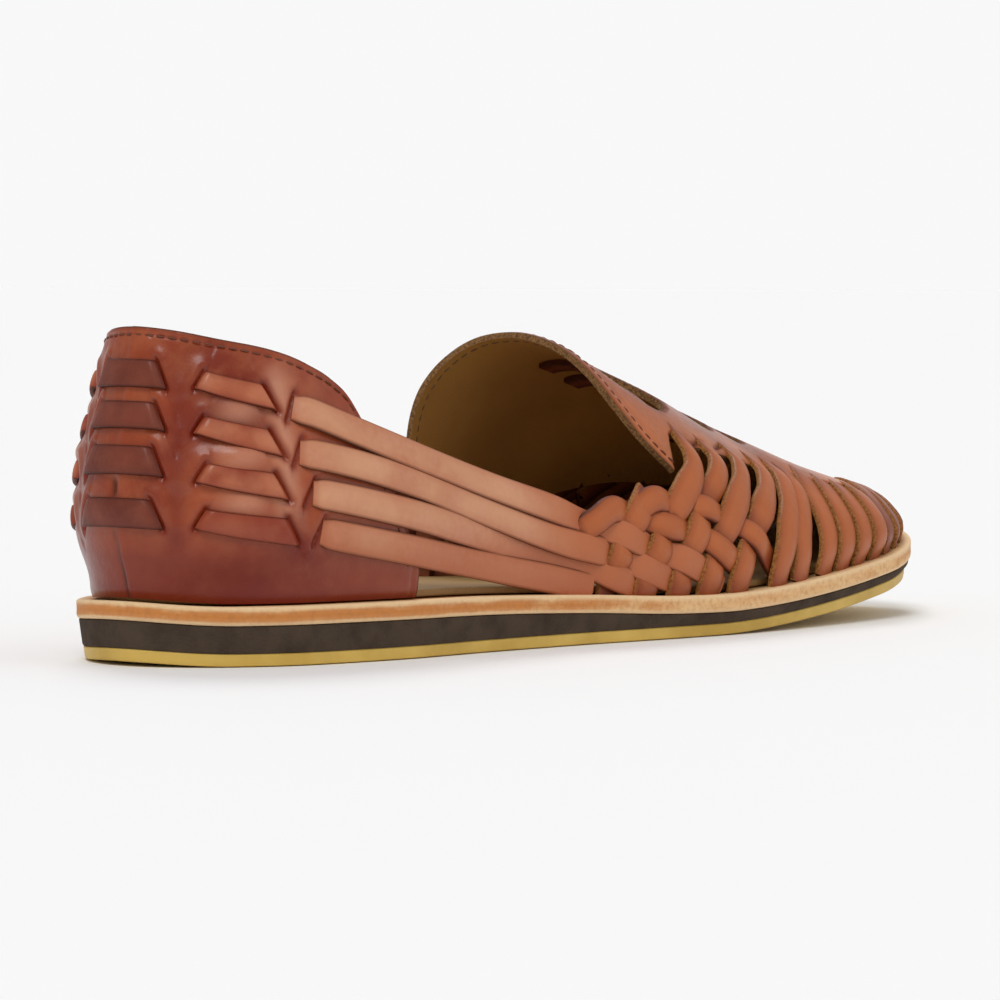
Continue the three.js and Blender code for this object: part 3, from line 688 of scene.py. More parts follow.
slab("gum_outsole", [
    (floor_clearance, 0, 4, 0, 0), (floor_clearance, 0, 2.4, 0, 0),
    (floor_clearance, 0.25, 2.02, 0, 0), (floor_clearance, 1.4, 1.85, 0, 0),
    (rubber_top, -0.25, 1.68, 0, 0), (rubber_top, 0, 1.9, 0, 0), (rubber_top, 0, 4, 0, 0),
], gum_rubber, "gum_rubber", "outsole")

slab("foam_wedge", [
    (rubber_top, GAP * 0.2, 4, 0, 0), (rubber_top, GAP * 0.2, 1.7, 0, 0),
    (rubber_top, 0.5, 1.42, 0, 0), (wedge_top, -1.2, 0.75, 0, 0), (wedge_top, -0.3, 0.62, 0, 0),
    (wedge_top, -0.05, 0.9, 0, 0), (wedge_top, -0.05, 4, 0, 0),
], dark_foam, "dark_foam", "wedge_midsole")

slab("leather_midsole_edge", [
    (wedge_top, 0, 4, 0, 0), (wedge_top, 0, 0.75, 0.9, 0), (wedge_top, 0.12, 0.4, 1, 0),
    (wedge_top, 0.45, 0.16, 0.9, 0.2), (wedge_top, 1, 0.06, 0.15, 0.8),
    (wedge_top, 2, 0.12, 0, 1), (wedge_top, 3, 0.08, 0.1, 0.8),
    (deck, -0.7, 0.02, 0.75, 0.3), (deck, -0.3, 0.1, 1, 0), (deck, -0.06, 0.4, 1, 0),
    (deck, 0, 0.9, 0.8, 0), (deck, 0, 1.8, 0.35, 0), (deck, 0, 3, 0.1, 0.4),
    (deck, -0.1, 4.2, 0, 0.9), (deck, -0.1, 7, 0, 0.5),
], natural_leather, "natural_leather", "leather_midsole")

INSOLE_INSET = WELT + WALL + 2 * GAP
slab("insole_board", [
    (deck, GAP, INSOLE_INSET + 3, 0, 0), (deck, GAP, INSOLE_INSET + 0.3, 0, 0),
    (deck, GAP + 0.3, INSOLE_INSET, 0.4, 0),
    (deck, INSOLE_LEATHER - 0.3, INSOLE_INSET, 0.4, 0),
    (deck, INSOLE_LEATHER - 0.05, INSOLE_INSET + 0.25, 0.5, 0),
    (deck, INSOLE_LEATHER, INSOLE_INSET + 0.8, 0, 0),
    (deck, INSOLE_LEATHER, INSOLE_INSET + 4, 0, 0),
], insole_leather, "insole_leather", "insole")

# %% [markdown]
# ## Heel quarter
# One sheet of lined leather wraps the heel. Straps dive into it through short slits, and at
# each slit the leather puckers: a lip stands up beside the cut and the sheet dips under the
# strap. The puckers are real relief on a fine grid, worked out from the distance to each slit.

# %% Slits, tabs and bands of the quarter
collar = table(
    "x up",
    (0, 63), (4, 62.7), (12, 61.5), (24, 58.8), (33, 55.6), (40, 52), (44.5, 48), (47.7, 42.4),
    (53, 31), (59, 18), (63.4, 9), (65.3, 6.5),
)
QUARTER_FRONT = float(turn_at(65.3))
bands = table("high low", (55.4, 49.0), (45.8, 39.5), (35.7, 29.0), (23.7, 17.0))
BAND_TURN, BAND_SLANT, TAB_SLANT = 8.8, 2.8, 2.2
tabs = table(
    "back front high_back high_front low_back low_front",
    (8.9, 20.7, 53.8, 50.8, 49.6, 44.6), (8.7, 21.3, 43.5, 40.5, 39.4, 34.0),
    (9.0, 21.9, 32.8, 30.6, 28.3, 24.2), (8.9, 24.4, 22.3, 20.2, 17.7, 13.6),
)
strap_starts = table("x up", (27.6, 45.6), (28.2, 35.3), (31.0, 25.9), (33.2, 16.9))
puffs = table("x up", (14.0, 44.8), (14.2, 34.4), (14.5, 24.0))

walk_turns = np.linspace(-180, 180, 1441)
walk_points = plan(walk_turns, WELT)[0]
walk = np.concatenate([[0], np.cumsum(np.linalg.norm(np.diff(walk_points, axis=0), axis=1))])
walk -= np.interp(0, walk_turns, walk)


def run(turn):
    """Distance along the feather line from the back of the heel."""
    return np.interp(turn, walk_turns, walk)


slits = []
for high, low in zip(bands["high"], bands["low"]):
    for side in (-1, 1):
        slits.append((side * BAND_TURN, high, side * (BAND_TURN + BAND_SLANT), low, side))
for k in range(4):
    row = {key: value[k] for key, value in tabs.items()}
    for side in (-1, 1):
        for end, out in (("back", -1), ("front", 1)):
            turn = turn_at(row[end])
            high, low = row["high_" + end], row["low_" + end]
            slits.append((side * turn, high, side * (turn + out * TAB_SLANT), low, out * side))
        start = float(turn_at(strap_starts["x"][k]))
        up = strap_starts["up"][k]
        slits.append((side * (start + 0.6), up + 3.3, side * (start - 1.4), up - 3.0, -side))
print(len(slits), "slits in the quarter")


def near_slits(turn, up):
    """Signed lift of the leather round the slits, the painted shade in each slit, and the painted
    highlight on its puffs and in a column between the tabs and the straps.
    """
    here = np.stack([run(turn), up], -1)
    lift = np.zeros(here.shape[:-1])
    shade = np.zeros(here.shape[:-1])
    for turn_high, high, turn_low, low, side in slits:
        a = np.array([run(turn_high), high])
        b = np.array([run(turn_low), low])
        length = np.linalg.norm(b - a)
        along = (b - a) / length
        t = (here - a) @ along
        across = (here - a) @ np.array([-along[1], along[0]])
        outside = across * np.sign(side) * np.sign(a[1] - b[1])
        past = np.maximum(np.maximum(-t, t - length), 0)
        distance = np.hypot(across, past)
        beyond = np.where(outside > 0, 1.0, 0.0)
        lift += hump((distance - 1.7) / 1.4) * 0.4 * beyond
        lift -= hump(distance / 0.65) * 0.8
        lift -= hump((distance - 5.0) / 2.4) * 0.18 * beyond
        # painted shade in each slit
        shade = np.maximum(shade, hump(distance / 1.2))
    # painted highlight: a pale column between the tab ends and the straps, and a pale patch on each
    # puff
    side_height = unit((up - 16) / 8) * unit((57 - up) / 6)
    shine = 0.8 * hump((np.abs(turn) - 33.4) / 2.4) * side_height
    for x, middle in zip(puffs["x"], puffs["up"]):
        away = (np.abs(run(turn)) - run(turn_at(x))) / 5.5
        puff = np.exp(-away**2 - ((up - middle) / 2.9) ** 2)
        lift += 1.1 * puff
        shine = np.maximum(shine, 0.7 * puff)
    return lift + 0.4 * shine, shade, shine * (1 - shade)


# %% [markdown]
# The sheet is one grid from the feather line to the collar. Its relief is a sum: the puckers,
# the seam up the back and the dart above it, soft waves, the pinch at the foot and the groove
# that the collar's stitches lie in.

# %% The quarter itself
ROWS, COLUMNS = 110, 420
share = np.linspace(-1, 1, COLUMNS)
turns = QUARTER_FRONT * np.sign(share) * np.abs(share) ** 0.8
height_share = np.linspace(0, 1, ROWS)[:, None]
turn_grid = np.broadcast_to(turns, (ROWS, COLUMNS))
top_edge = curve(collar, "up", station(turns))
up_grid = GAP * 1.2 + (top_edge - GAP * 1.2) * height_share
pucker, slit_shade, shine = near_slits(turn_grid, up_grid)
from_edge = np.minimum(top_edge - up_grid, (QUARTER_FRONT - np.abs(turn_grid)) * 1.3)
edge_mark = unit(1 - from_edge / 0.7)
seam_height = unit((17.5 - up_grid) / 1.5)
dart = np.exp(-(run(turn_grid) / 0.8) ** 2 - ((up_grid - 26) / 2.4) ** 4)
seam = hump((run(turn_grid) + 0.7 * unit(1 - up_grid / 15)) / 0.45) * seam_height
seam_step = 0.45 * np.where(run(turn_grid) < 0, np.exp(run(turn_grid) / 6), 0)
soft_waves = 0.35 * np.sin(up_grid / 3.1 + turn_grid / 9) * hump((np.abs(turn_grid) - 26) / 14)
bottom_pinch = -0.5 * hump(up_grid / 1.6)
rolled = -0.45 * unit(1 - from_edge / 0.8) ** 2
stitch_groove = -0.3 * hump((from_edge - 1.7) / 0.5)
lift_out = pucker + soft_waves + bottom_pinch + rolled + stitch_groove
lift_out += seam_step - seam * 0.55 - dart * 0.9
lift_in = -WALL + np.clip(pucker, -0.3, 0.4) * 0.5 + soft_waves * 0.6
rise_grid = rise_at(turn_grid, up_grid)
# The shade mark: painted shade at the slits, in the valley between the bands and the tabs and along
# the foot where the quarter meets the sole, the seam's dark line, and darker towards the bottom.
between = unit((up_grid - 10) / 6) * unit((56 - up_grid) / 5)
valley_shade = 1.2 * hump((np.abs(turn_grid) - 14.4) / 2.4) * between
low_part = np.interp(np.abs(turn_grid), [10, 35, 50], [0.9, 0.65, 0.45])
low_part = unit((19 - up_grid) / 9) * low_part + hump(up_grid / 2.5) * 0.6
quarter_shade = unit(slit_shade * 0.9 + seam * 0.8 + valley_shade * 0.6 + low_part)
quarter_edge = unit(edge_mark + seam * 0.8 + dart)
shell(
    "heel_quarter", lifted(turn_grid, rise_grid, lift_out), lifted(turn_grid, rise_grid, lift_in),
    marks={"edge": quarter_edge, "shade": quarter_shade, "crest": shine},
    materials=[burnished, cut_leather, lining_leather],
)

# %% [markdown]
# ## Strips
# Every strip, strap, tab and band is one ribbon: a middle line on the last, a width and a
# lift. Its cross-section is a flat strip of hide with softened corners, a slight crown, and
# cut edges of another colour. Where two strips cross, one is lifted over and one pressed
# under, and the ribbon puffs up a little between its neighbours. Shade is painted into its
# colour where it lies under another strip, along its two long edges and near the feather line.

# %% A ribbon on the last
SECTION = np.array([
    (-1.0, -0.36), (-1.0, 0.22), (-0.94, 0.42), (-0.8, 0.49), (-0.38, 0.5), (0.0, 0.5),
    (0.38, 0.5), (0.8, 0.49), (0.94, 0.42), (1.0, 0.22), (1.0, -0.36), (0.93, -0.5),
    (0.0, -0.5), (-0.93, -0.5),
])
SECTION_EDGE = np.array([1, 0.9, 0.45, 0, 0, 0, 0, 0, 0.45, 0.9, 1, 1, 0.4, 1])
SUNK_BY = 1.3
STEP = 1.1
DIVE = -1.0


def ribbon(
    turn_low, rise_low, turn_high, rise_high, lift, crown, tilt=0.0, raw_side=True, sunk=None,
):
    """One closed ribbon from the two ends of each cross line; the side it tilts up is raw."""
    v = SECTION[:, 0][None, :]
    count, around = len(lift), len(SECTION)
    turn = turn_low[:, None] * (1 - v) / 2 + turn_high[:, None] * (1 + v) / 2
    rise = rise_low[:, None] * (1 - v) / 2 + rise_high[:, None] * (1 + v) / 2
    up = SECTION[:, 1][None, :] * STRIP + crown[:, None] * (1 - v**2) + tilt * v
    points = lifted(turn, np.maximum(rise, 0), lift[:, None] + up)
    if sunk is not None:
        points[sunk, :, 2] -= SUNK_BY
    number = np.arange(count * around).reshape(count, around)
    next_around = np.roll(number, -1, axis=1)
    sides = np.stack([number[:-1], next_around[:-1], next_around[1:], number[1:]], -1)
    sides = sides.reshape(-1, 4)
    faces = [*sides, number[0][::-1], number[-1]]
    raised = (v * np.sign(tilt) > 0.9) * float(raw_side)
    edge = SECTION_EDGE[None, :] * (1 - raised) + np.zeros((count, 1))
    raw = SECTION_EDGE[None, :] * raised + np.zeros((count, 1))
    # painted shade: darker where the strip lies under another, along its two long edges and near the
    # feather line
    pressed = unit((-0.1 - lift) / 0.8)[:, None] * 0.8 + v**4 * 0.85
    pressed = pressed + 0.7 * hump(rise / 0.05)
    return points.reshape(-1, 3), faces, edge.ravel(), raw.ravel(), pressed.ravel()


def ribbons(name, parts, material):
    """Several ribbons joined in one mesh; parts: (ribbon, how much darker it is)."""
    points, faces, edges, raws, shades = [], [], [], [], []
    base = 0
    for (p, f, edge, raw, pressed), shade in parts:
        points.append(p)
        faces += [[i + base for i in face] for face in f]
        edges.append(edge)
        raws.append(raw)
        # each ribbon's own darker tone, plus the painted shade worked out in ribbon()
        shades.append(unit(shade + pressed))
        base += len(p)
    points = np.concatenate(points)
    marks = {
        "edge": np.concatenate(edges), "raw": np.concatenate(raws),
        "shade": np.concatenate(shades), "crest": unit((points[:, 0] - 100) / 20),
    }
    piece(name, points, faces, [material], None, marks)


def through(values, at):
    """A smooth curve through evenly numbered values."""
    numbered = {"n": np.arange(len(values), dtype=float), "v": np.asarray(values, float)}
    return curve(numbered, "v", at, "n")


def cross_lines(turn, rise, width):
    """Ends of the cross lines, square to a route on the last."""
    here = last(turn, rise)
    heading = np.gradient(here, axis=0)
    across = np.cross(heading, normal(turn, rise))
    across /= np.linalg.norm(across, axis=-1, keepdims=True)
    per_turn = (last(turn + 0.2, rise) - here) * 5
    per_rise = (last(turn, rise + 0.004) - here) * 250
    pairs = ((per_turn, per_turn), (per_turn, per_rise), (per_rise, per_rise))
    tt, tr, rr = (np.sum(p * q, -1) for p, q in pairs)
    a, b = np.sum(across * per_turn, -1), np.sum(across * per_rise, -1)
    scale = width / 2 / (tt * rr - tr * tr)
    d_turn, d_rise = scale * (a * rr - b * tr), scale * (b * tt - a * tr)
    return turn - d_turn, rise - d_rise, turn + d_turn, rise + d_rise


def route(turns, rises, lifts, width, crown=0.25, pinch=0.14, **options):
    """A ribbon along a middle line; it is narrower where it is pressed under another."""
    turns, rises, lifts = (np.asarray(v, float) for v in (turns, rises, lifts))
    length = np.linalg.norm(np.diff(last(turns, rises), axis=0), axis=1)
    steps = [max(2, int(round(d / STEP))) for d in length]
    n = [np.linspace(k, k + 1, count, endpoint=False) for k, count in enumerate(steps)]
    n = np.concatenate([*n, [len(turns) - 1.0]])
    turn, rise, lift = through(turns, n), np.maximum(through(rises, n), 0), through(lifts, n)
    pressed = unit((0.3 - lift) / 1.2)
    widths = np.interp(n, np.arange(len(turns)), np.broadcast_to(width, len(turns)))
    ends = cross_lines(turn, rise, widths * (1 - pinch * pressed))
    return ribbon(*ends, lift, crown * (1 - pressed), **options)


print("ribbon section of", len(SECTION), "points")

# %% [markdown]
# The bands run round the back of the heel, and a short tab lies on each side of them. Each
# comes up out of one slit and dives into the next, and its lower edge is the longer one.

# %% Tabs and bands on the quarter
def tab(turn_from, turn_to, high, low, slant, top=0.55, crown=0.2):
    """high and low: (at the start, at the end)."""
    t = np.concatenate([[0, 0.02, 0.05, 0.09], np.linspace(0.14, 0.86, 15), [0.91, 0.95, 0.98, 1]])
    ramp = unit(np.minimum(t, 1 - t) / 0.07)
    ramp = ramp * ramp * (3 - 2 * ramp)
    turn = turn_from + (turn_to - turn_from) * t
    low_turn = turn + slant * (2 * t - 1) * np.sign(turn_to - turn_from)
    rise_high = rise_at(turn, high[0] + (high[1] - high[0]) * t)
    rise_low = rise_at(low_turn, low[0] + (low[1] - low[0]) * t)
    lift = DIVE + (top - DIVE) * ramp
    rows = (low_turn, rise_low, turn, rise_high, lift, crown * ramp)
    if turn_to < turn_from:
        rows = (v[::-1] for v in rows)
    return ribbon(*rows, tilt=-0.22, raw_side=False)


band_parts, tab_parts = [], []
for high, low in zip(bands["high"], bands["low"]):
    ends = (high, high), (low, low)
    band = tab(-BAND_TURN, BAND_TURN, *ends, BAND_SLANT, top=0.5, crown=0.1)
    band_parts.append((band, 0.2))
for k in range(4):
    row = {key: value[k] for key, value in tabs.items()}
    back, front = float(turn_at(row["back"])), float(turn_at(row["front"]))
    for side in (-1, 1):
        made = tab(
            side * (back + (side > 0)), side * front, (row["high_back"], row["high_front"]),
            (row["low_back"], row["low_front"]), TAB_SLANT, top=0.55 if side < 0 else 0.3,
        )
        tab_parts.append((made, 0.15 + 0.6 * (k == 3)))
ribbons("heel_bands", band_parts, band_leather)
ribbons("heel_tabs", tab_parts, tab_leather)

# %% [markdown]
# ## Straps and weave
# Four straps leave each side of the quarter and run forward into the weave, where they are its
# lower rows. Two more rows start at a folded end on the top edge. Strips come down from the
# vamp and pass over and under the rows in turn. The lists give each strip's middle line as a
# distance from the heel, a height above the midsole and a level.

# %% Routes of the straps, rows and columns
throat = table(
    "rise outer inner",
    (0.25, 170, 133.5), (0.37, 162.5, 132.6), (0.44, 156, 133.3), (0.54, 151.8, 136.1),
    (0.66, 150.8, 140.2), (0.8, 150.6, 144.2), (0.9, 149.5, 146.5), (1, 147.8, 147.8),
)
THROAT_CORNER = {-1: 163.0, 1: 133.0}
vamp_edge = table(
    "turn outer inner",
    (80, 0.3, 0.26), (96.3, 0.345, 0.25), (99, 0.485, 0.25), (104, 0.49, 0.25), (112, 0.505, 0.27),
    (118, 0.51, 0.34), (126, 0.49, 0.44), (134, 0.52, 0.5), (146, 0.56, 0.56), (180, 0.6, 0.6),
)
crest_slots = table("x y length width", (172, -10, 32, 22), (199, -9.5, 17, 14), (214, -11, 12, 9))
STRIP_TILT, STRAP_TILT = 0.34, 0.25
column_necks = [0, 1.5, 1.5, 2.0, 2.0, 1.2, 1.6]
SLIT, RAISED, OVER, UNDER, TUCKED, FLUSH = -0.9, 0.72, 0.55, -0.95, -1.15, -0.66
# each place: (distance from the heel, height above the midsole, level)
rows_of_straps = [
    [(27.6, 45.6, SLIT), (32, 44.1, RAISED), (45, 39.5, RAISED), (64, 33.5, 0.2), (90, 26.3, 0),
     (112, 20.8, 0.2), (125, 17.6, UNDER), (137, 14.5, OVER), (148, 11.2, UNDER), (158, 8.5, OVER),
     (167, 4.5, UNDER), (172, 1.4, UNDER)],
    [(28.2, 35.3, SLIT), (33, 34.3, RAISED), (46, 31.5, RAISED), (65, 26.6, 0.2), (89, 19.7, 0),
     (114, 13.2, 0.2), (126, 11.1, OVER), (134.5, 9.6, UNDER), (145, 6.2, OVER), (156, 2.9, UNDER),
     (160, 1.4, UNDER)],
    [(31.0, 25.9, SLIT), (36, 25.0, RAISED), (58.5, 20.6, RAISED), (84, 15.0, 0),
     (105, 10.6, -0.9), (124, 7.2, -0.6), (134, 4.3, OVER), (144, 1.8, UNDER)],
    [(33.2, 16.9, SLIT), (38, 15.9, RAISED), (58.6, 12.3, RAISED), (80, 8.7, 0.2), (96, 6.2, 0.2),
     (112, 4.0, 0.2), (126, 1.9, 0)],
]
rows_of_weave = [
    [(137, 18.0, UNDER), (147.5, 23.3, 1.0), (158.2, 22.4, UNDER), (167.8, 21.2, OVER),
     (177, 18.0, UNDER), (184.8, 13.0, OVER), (191, 7.5, UNDER), (196, 3.0, UNDER)],
    [(121, 14.8, UNDER), (126, 17.8, 1.0), (133, 20.8, OVER), (141.5, 19.6, UNDER),
     (151.7, 17.0, OVER), (162, 15.6, UNDER), (170, 11.2, OVER), (178.5, 5.8, UNDER),
     (182, 2.2, UNDER)],
]
columns_of_weave = [
    [(148, 25.4, UNDER), (141.5, 19.6, OVER), (137, 14.5, UNDER), (134.5, 9.6, OVER),
     (133, 4.4, UNDER), (132, GAP, UNDER)],
    [(176, 42, TUCKED), (174.5, 38.5, FLUSH), (173, 34, 0.1), (169.5, 30, 0.5), (164, 26.6, 0.7),
     (158, 22.6, OVER), (151.9, 17, UNDER), (148, 11.2, OVER), (145.2, 6.2, UNDER),
     (143.8, 2.2, OVER), (143.4, GAP, 0.0)],
    [(186, 39, TUCKED), (185.6, 35.8, FLUSH), (184.8, 31.8, 0.1), (179, 27.9, 0.4),
     (168.5, 21.8, UNDER), (162.5, 15.4, OVER), (158.2, 8.5, UNDER), (155.8, 2.9, OVER),
     (155.2, GAP, 0.0)],
    [(199.5, 37, TUCKED), (198.8, 33.8, FLUSH), (197, 29.8, 0.1), (190, 25.8, 0.4),
     (183, 22.2, 0.5), (177, 18.4, OVER), (170.3, 11.2, UNDER), (167, 4.5, OVER), (166, GAP, 0.0)],
    [(211.5, 33.5, TUCKED), (210.6, 30.3, FLUSH), (208.6, 26.3, 0.1), (201.5, 22.6, 0.4),
     (193.5, 19, 0.3), (184.8, 13, UNDER), (178.8, 5.8, OVER), (177.6, GAP, 0.0)],
    [(220.3, 30, TUCKED), (219, 27.3, FLUSH), (216, 23.3, 0.1), (208, 17.8, 0.3),
     (200.5, 12.5, 0.4), (195.8, 6, 0.5), (194.8, GAP, 0.0)],
    [(224.5, 27.6, TUCKED), (223, 25, FLUSH), (219, 20.6, 0), (212, 15.2, 0.1), (207, 10, 0),
     (204.8, GAP, 0)],
]


def edge_rise(turn):
    """The vamp's lower edge, which comes lower on the inner side."""
    turn = wrap(turn)
    outer_edge = curve(vamp_edge, "outer", np.abs(turn), "turn")
    return np.where(turn < 0, outer_edge, curve(vamp_edge, "inner", np.abs(turn), "turn"))


def on_side(side, places, width, **options):
    """On the inner side a strip ends a little above the vamp's edge, tucked behind it."""
    x, up, lift = np.array(places, float).T
    turn = side * turn_at(x)
    rise = rise_at(turn, up)
    if side > 0:
        above = rise - edge_rise(turn) >= 0.02
        kept = ~above | ~np.append(above[1:], True)
        lift = np.where(above, TUCKED, lift)
        turn, rise, lift = turn[kept], rise[kept], lift[kept]
        width = np.broadcast_to(width, len(kept))[kept]
    return route(turn, rise, lift, width, **options)


strap_parts, weave_parts = [], []
for side in (-1, 1):
    for k, places in enumerate(rows_of_straps):
        shape = {"crown": 0.3, "tilt": -STRAP_TILT * side, "raw_side": False}
        made = on_side(side, places, STRAP_WIDTH + 0.9, **shape)
        strap_parts.append((made, 0.35 * (k == 3)))
    for places in rows_of_weave:
        weave_parts.append((on_side(side, places, STRAP_WIDTH + 0.6, crown=0.9), 0.15))
    for places, neck in zip(columns_of_weave, column_necks):
        widths = COLUMN_WIDTH - neck * (np.arange(len(places)) < 4)
        made = on_side(side, places, widths, crown=0.9, tilt=-STRIP_TILT * side, sunk=-1)
        weave_parts.append((made, 0.1))
ribbons("side_straps", strap_parts, strap_leather)
ribbons("woven_strips", weave_parts, warm_leather)

# %% [markdown]
# ## Vamp
# The vamp is one sheet from the throat over the top of the foot to the toe. Its back edge is
# raw and stitched, its lower edge covers the ends of the strips, and three lens-shaped
# openings lie along its crest. The openings are cut by leaving out the cells of the grid that
# fall inside a lens and moving the corners beside the cut onto its lip.

# %% The vamp sheet
ALONG, HALF = 200, 90
MM_PER_RISE, MM_PER_TURN, VAMP_LENGTH = 75.0, 2.3, 150.0
SETTLE_STEPS, SETTLE = 30, 0.25
ticks = table(
    "turn rise end_turn end_rise",
    (-99.4, 0.495, -101.2, 0.521), (-103.2, 0.493, -105.5, 0.529), (-107.7, 0.513, -110.6, 0.557),
)
along = 1 - np.linspace(0, 1, ALONG)
grid_turn, grid_rise, grid_low = [], [], []
for r in range(2 * HALF + 1):
    side = -1 if r < HALF else 1
    key = "outer" if side < 0 else "inner"
    corner_turn = float(turn_at(THROAT_CORNER[side]))
    low = curve(vamp_edge, key, corner_turn + (180 - corner_turn) * along, "turn")
    # the lower edge and the throat's place on it depend on each other, so they settle together
    for settling in range(SETTLE_STEPS):
        back = turn_at(curve(throat, key, low, "rise"))
        low = low + SETTLE * (curve(vamp_edge, key, back + (180 - back) * along, "turn") - low)
    rise = low + (1 - low) * (1 - abs(r - HALF) / HALF)
    back = turn_at(curve(throat, key, rise, "rise"))
    grid_turn.append(side * (back + (180 - back) * along))
    grid_rise.append(rise)
    grid_low.append((rise - low) * MM_PER_RISE)
vamp_turn, vamp_rise = np.array(grid_turn), np.array(grid_rise)
from_low = np.array(grid_low)
from_throat = along * VAMP_LENGTH * np.ones_like(vamp_turn)


def lens(slot, x, y):
    """Signed distance across a lens-shaped opening from its lip, and its half width there."""
    reach = 1 - (2 * (x - slot["x"]) / slot["length"]) ** 2
    return np.abs(y - slot["y"]) - slot["width"] / 2 * reach, reach


# %% [markdown]
# Round each opening, and along a fold on the outer side below the crest, shade is painted
# into the leather's colour. The relief of the sheet is a few soft waves, rolled edges, the
# groove of the throat's stitches and three short cuts, where strips pass through.

# %% Cut the crest openings
flat = last(vamp_turn, vamp_rise)
keep = np.ones((2 * HALF, ALONG - 1), bool)
from_lip = np.full_like(vamp_turn, 50.0)
middle = (flat[:-1, :-1] + flat[1:, :-1] + flat[1:, 1:] + flat[:-1, 1:]) / 4
y_slope = np.gradient(flat[..., 1], axis=0) / np.gradient(vamp_rise, axis=0)
for k in range(3):
    slot = {key: value[k] for key, value in crest_slots.items()}
    past, _ = lens(slot, middle[..., 0], middle[..., 1])
    cut = past < 0
    keep &= ~cut
    touched, held = np.zeros_like(vamp_turn, bool), np.zeros_like(vamp_turn, bool)
    for dr in (0, 1):
        for dc in (0, 1):
            touched[dr:dr + 2 * HALF, dc:dc + ALONG - 1] |= cut
            held[dr:dr + 2 * HALF, dc:dc + ALONG - 1] |= ~cut
    past, reach = lens(slot, flat[..., 0], flat[..., 1])
    lip = touched & held & (reach > 0)
    off = past * np.sign(flat[..., 1] - slot["y"]) / y_slope
    vamp_rise = vamp_rise - np.where(lip, np.clip(off, -0.012, 0.012), 0)
    near = np.where(reach > -0.15, np.maximum(past, 0), 50)
    from_lip = np.minimum(from_lip, np.where(lip, 0, near))
near_edge = np.minimum(np.minimum(from_low, from_throat), from_lip)
vamp_waves = 0.22 * np.sin(vamp_turn / 3.2 + vamp_rise * 9) * np.exp(-from_low / 9)
tick_depth = np.zeros_like(vamp_turn)
scale = np.array([MM_PER_TURN, MM_PER_RISE])
for k in range(3):
    tick = {key: value[k] for key, value in ticks.items()}
    a = np.array([tick["turn"], tick["rise"]]) * scale
    b = np.array([tick["end_turn"], tick["end_rise"]]) * scale
    here = np.stack([vamp_turn, vamp_rise], -1) * scale
    share = unit((here - a) @ (b - a) / ((b - a) @ (b - a)))
    distance = np.linalg.norm(here - a - share[..., None] * (b - a), axis=-1)
    tick_depth = np.maximum(tick_depth, hump(distance / 0.5))
on_outer_side = vamp_turn < 0
# painted shade along a fold on the outer side, below the crest
crest_fold_shade = 0.5 * hump((vamp_rise - 0.8) / 0.05) * on_outer_side
crest_fold_shade *= unit((from_throat - 4) / 8)
throat_groove = 0.22 * hump((from_throat - 2.4) / 0.6)
rolled = 0.4 * unit(1 - near_edge / 0.9) ** 2
outer = lifted(vamp_turn, vamp_rise, vamp_waves - rolled - throat_groove - 0.7 * tick_depth)
inner = lifted(vamp_turn, vamp_rise, -WALL + vamp_waves * 0.5)
# painted shade round each opening
lip_shade = hump(from_lip / 1.6) * 0.6 + hump(from_lip / 6) * 0.4
vamp_edge_mark = unit(1 - np.minimum(from_throat, from_lip) / 0.7) * 0.8
top_light = np.where(on_outer_side, unit((vamp_rise - 0.62) / 0.25), 1)
shell(
    "vamp", outer, inner, keep,
    marks={
        "edge": vamp_edge_mark + tick_depth * 0.9,
        "shade": unit(lip_shade + tick_depth + crest_fold_shade),
        "crest": top_light * unit((from_low - 4) / 12),
    },
    materials=[vamp_leather, raw_leather, lining_leather], weld=True,
)

# %% [markdown]
# Two strips cross under the first opening, below the vamp; they are painted dark, as shade.

# %% Strips behind the first opening
# The 0.6 given with each part is painted shade: these strips lie in the dark under the vamp.
crest_parts = []
for x in (166, 177):
    rises = np.array([0.52, 0.66, 0.8, 0.95, 1.1])
    turns = -turn_at(x + 6 * (np.arange(5) - 2) / 4)
    crest_parts.append((route(turns, rises, np.full(5, -WALL - 0.75), STRAP_WIDTH), 0.6))
ribbons("crest_strips", crest_parts, warm_leather)

# %% [markdown]
# ## Toe strips
# Round the toe the strips stand side by side, evenly spaced along the feather line. The first
# ones come out from under the vamp's edge; the last six on each side, and the one at the
# point, lie over it and end in a slit.

# %% Strips round the toe
TOE_STRIPS_FROM = 216.5
TOE_STRIP_COUNT = 10
STRIPS_OVER_VAMP = 6
TOE_STRIP_WIDTH = 7.7
TOE_STRIP_LEAN = 0.1
toe_parts = []
for side in (-1, 1):
    first = run(side * turn_at(TOE_STRIPS_FROM))
    whole = run(side * 180.0)
    for k in range(TOE_STRIP_COUNT + (side > 0)):
        turn = float(np.interp(first + (whole - first) * k / TOE_STRIP_COUNT, walk, walk_turns))
        edge = float(edge_rise(turn))
        if k >= TOE_STRIP_COUNT - STRIPS_OVER_VAMP:
            over = edge + np.array([-0.04, 0.04, 0.1, 0.15, 0.18, 0.195])
            rises = [0, 0.1, 0.22, 0.36, *over]
            lifts = [-0.5, -0.9, -0.9, -0.8, -0.6, -0.35, -0.3, -0.35, -0.7, -1.3]
        else:
            rises = [0, 0.1, 0.2, 0.3, edge - 0.07, edge, edge + 0.04, edge + 0.09]
            lifts = [-0.1, 0.2, 0.2, 0.1, -0.35, FLUSH, -0.9, TUCKED]
        rises = np.array(rises)
        turns = turn + (side * 180 - turn) * TOE_STRIP_LEAN * (rises / 0.5) ** 1.7
        tilt = 0.0 if k == TOE_STRIP_COUNT else STRIP_TILT * side
        shape = {"crown": 0.35, "pinch": 0, "tilt": tilt, "sunk": 0}
        toe_parts.append((route(turns, rises, lifts, TOE_STRIP_WIDTH, **shape), 0.1))
